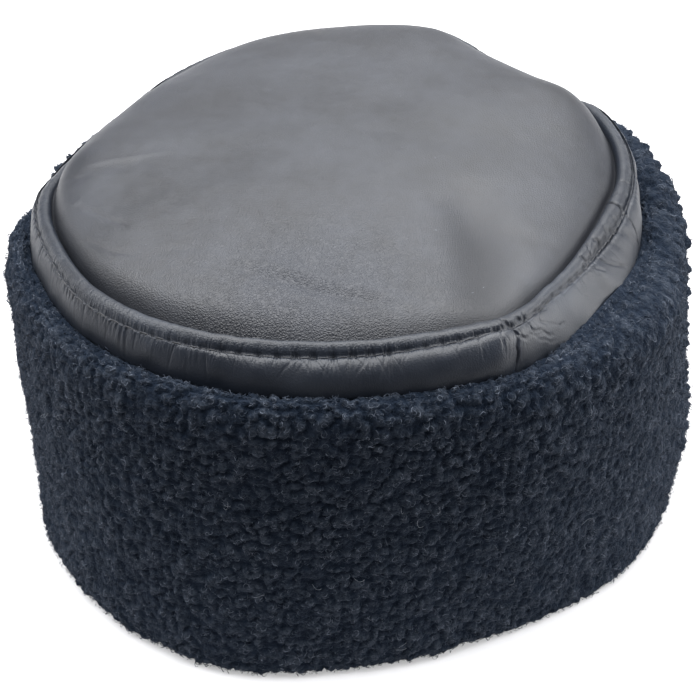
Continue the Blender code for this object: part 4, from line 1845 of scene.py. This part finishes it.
@dataclass
class Studio:
    """The pale floor, with painted shade in front and a painted glow under the hat, the soft lights and the camera."""

    # The camera looks at a point near the hat's middle, in metres, from the photo's angle. Its lens and its shift
    # are in pixels of a square picture.
    target: tuple[float, float, float] = (0.0008, -0.0063, 0.057)
    distance: float = 0.55575
    elevation: float = 35.0
    focal_pixels: float = 1600.0
    picture: float = 700.0
    shift: tuple[float, float] = (-3.0, -15.0)
    sensor: float = 36.0

    # The room, darker behind the camera than behind the hat: its colour, its strength here and there, the direction
    # in which it grows, and the part of a sphere's radius along it that the growth takes
    sky: str = "f4f5f9"
    sky_strength: tuple[float, float] = (0.22, 0.5)
    sky_growth: tuple[float, float, float] = (0.0, 1.0, 0.25)
    sky_span: float = 0.9

    # The floor: its half width, its gloss, its colours in front, darkened as painted shade, and under the hat, between
    # which depths the one gives way to the other, and how much it glows under the hat as painted light
    floor_reach: float = 4000.0
    floor_roughness: float = 0.9
    floor_specular: float = 0.1
    floor_shades: tuple[str, str] = ("4a4a4b", "c4c4c6")
    floor_fall: tuple[float, float] = (-0.32, -0.13)
    floor_glow: float = 0.36

    lights: tuple[Softbox, ...] = (
        Softbox("softbox_top", (-0.06, 0.13, 1.5), (2.6, 1.6), 86.0),
        Softbox("softbox_rear", (0.15, 1.8, 1.1), (2.4, 0.9), 11.0),
        Softbox("softbox_right", (1.6, 0.05, 0.6), (1.5, 1.2), 28.0),
        Softbox("softbox_left", (-1.6, 0.3, 0.8), (0.9, 1.2), 12.0),
    )

    def camera(self) -> bpy.types.Object:
        """Sets up the camera at the photo's angle.

        Returns:
            The camera.
        """
        data = bpy.data.cameras.new("camera")
        camera = bpy.data.objects.new("camera", data)
        bpy.context.scene.collection.objects.link(camera)
        tilt = math.radians(self.elevation)
        back = Vector((0.0, -math.cos(tilt), math.sin(tilt))) * self.distance
        camera.location = Vector(self.target) + back
        camera.rotation_euler = (math.radians(90.0) - tilt, 0.0, 0.0)
        data.sensor_width = self.sensor
        data.lens = self.focal_pixels / self.picture * self.sensor
        data.shift_x, data.shift_y = (pixels / self.picture for pixels in self.shift)
        data.dof.use_dof = False
        bpy.context.scene.camera = camera
        return camera

    def paper(self) -> bpy.types.Material:
        """Builds the floor's finish: matte white studio paper. Its colour is darkened in front of the hat, out of the
        picture, as painted shade, so that the leather's front mirrors a darker floor and stays dark; under the hat it
        glows as painted light, which washes out the contact shadow.

        Returns:
            The material.
        """
        material, tree, shader = new_material("matte white studio paper")
        ahead = add_node(tree, "SeparateXYZ", {0: add_node(tree, "TexCoord").outputs["Object"]}).outputs["Y"]
        # Painted light: colour and glow fade out towards the front of the floor
        far, near = self.floor_fall
        fall = {"Value": ahead, "From Min": far, "From Max": near}
        lit = add_node(tree, "MapRange", fall, interpolation_type="SMOOTHSTEP").outputs["Result"]
        shades = add_node(tree, "ValToRGB", {"Fac": lit})
        shades.color_ramp.elements[0].color = linear(self.floor_shades[0])
        shades.color_ramp.elements[1].color = linear(self.floor_shades[1])
        glow = add_node(tree, "Math", {0: lit, 1: self.floor_glow}, operation="MULTIPLY").outputs["Value"]
        tree.links.new(shades.outputs["Color"], shader.inputs["Base Color"])
        tree.links.new(glow, shader.inputs["Emission Strength"])
        shader.inputs["Roughness"].default_value = self.floor_roughness
        shader.inputs["Specular IOR Level"].default_value = self.floor_specular
        shader.inputs["Emission Color"].default_value = linear("ffffff")
        return material

    def floor(self) -> bpy.types.Object:
        """Lays the pale floor.

        Returns:
            The floor.
        """
        corners = ((-1, -1, 0), (1, -1, 0), (1, 1, 0), (-1, 1, 0))
        floor = mesh_object("floor", self.floor_reach * np.array(corners), np.array([[0, 1, 2, 3]]), smooth=False)
        floor.data.materials.append(self.paper())
        return floor

    def light(self, box: Softbox) -> bpy.types.Object:
        """Hangs one softbox, turned to the hat.

        Args:
            box: its place, size and power.

        Returns:
            The light.
        """
        data = bpy.data.lights.new(box.name, "AREA")
        data.shape = "RECTANGLE"
        data.size, data.size_y = box.size
        data.energy = box.watts
        data.color = linear(box.colour)[:3]
        lamp = bpy.data.objects.new(box.name, data)
        bpy.context.scene.collection.objects.link(lamp)
        lamp.location = box.place
        lamp.rotation_euler = (Vector(self.target) - Vector(box.place)).to_track_quat("-Z", "Y").to_euler()
        return lamp

    def room(self) -> None:
        """Lights the room, plain and pale."""
        world = bpy.data.worlds.new("studio")
        world.use_nodes = True
        tree = world.node_tree
        background = tree.nodes["Background"]
        background.inputs["Color"].default_value = linear(self.sky)
        heading = add_node(tree, "TexCoord").outputs["Generated"]
        depth = add_node(tree, "VectorMath", {0: heading, 1: self.sky_growth}, operation="DOT_PRODUCT")
        front, rear = self.sky_strength
        growth = {"From Min": -self.sky_span, "From Max": self.sky_span, "To Min": front, "To Max": rear}
        strength = add_node(tree, "MapRange", {"Value": depth.outputs["Value"], **growth})
        tree.links.new(strength.outputs["Result"], background.inputs["Strength"])
        bpy.context.scene.world = world
        bpy.context.scene.view_settings.view_transform = "Standard"

    def build(self) -> None:
        """Sets up the studio."""
        self.room()
        self.camera()
        self.floor()
        for box in self.lights:
            self.light(box)
        LOG.info("studio: %d softboxes", len(self.lights))


def main() -> None:
    """Builds the hat and its studio."""
    logging.basicConfig(level=logging.INFO, format="%(name)s %(message)s")
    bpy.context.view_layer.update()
    form = HatForm(STATIONS)
    Studio().build()
    LeatherPanel(form, NappaLeather("black nappa leather, panel")).build()
    wall_finish = NappaLeather(
        "black nappa leather, wall", dye="0a111c", worn="1e2530", roughness=0.39, grain_depth=0.1, gathers=0.25
    )
    wall = LeatherWall(form, wall_finish)
    wall.build()
    Topstitching(form, wall.stitch_count(), Thread("black polyester thread", "0c0d10", "34363c", 0.35)).build()
    field = CurlField(form)
    FleeceBand(form, field, CurlySheepskin("black sheepskin, body of the pile", "0f1824", "2f353e")).build()
    WoolCurls(form, field, CurlySheepskin("black sheepskin, curls", "111a26", "555b66")).build()
    LooseFibres(form, Thread("undyed wool fibre", "4a4f58", "8a8f98", 0.6)).build()


if __name__ == "__main__":
    main()
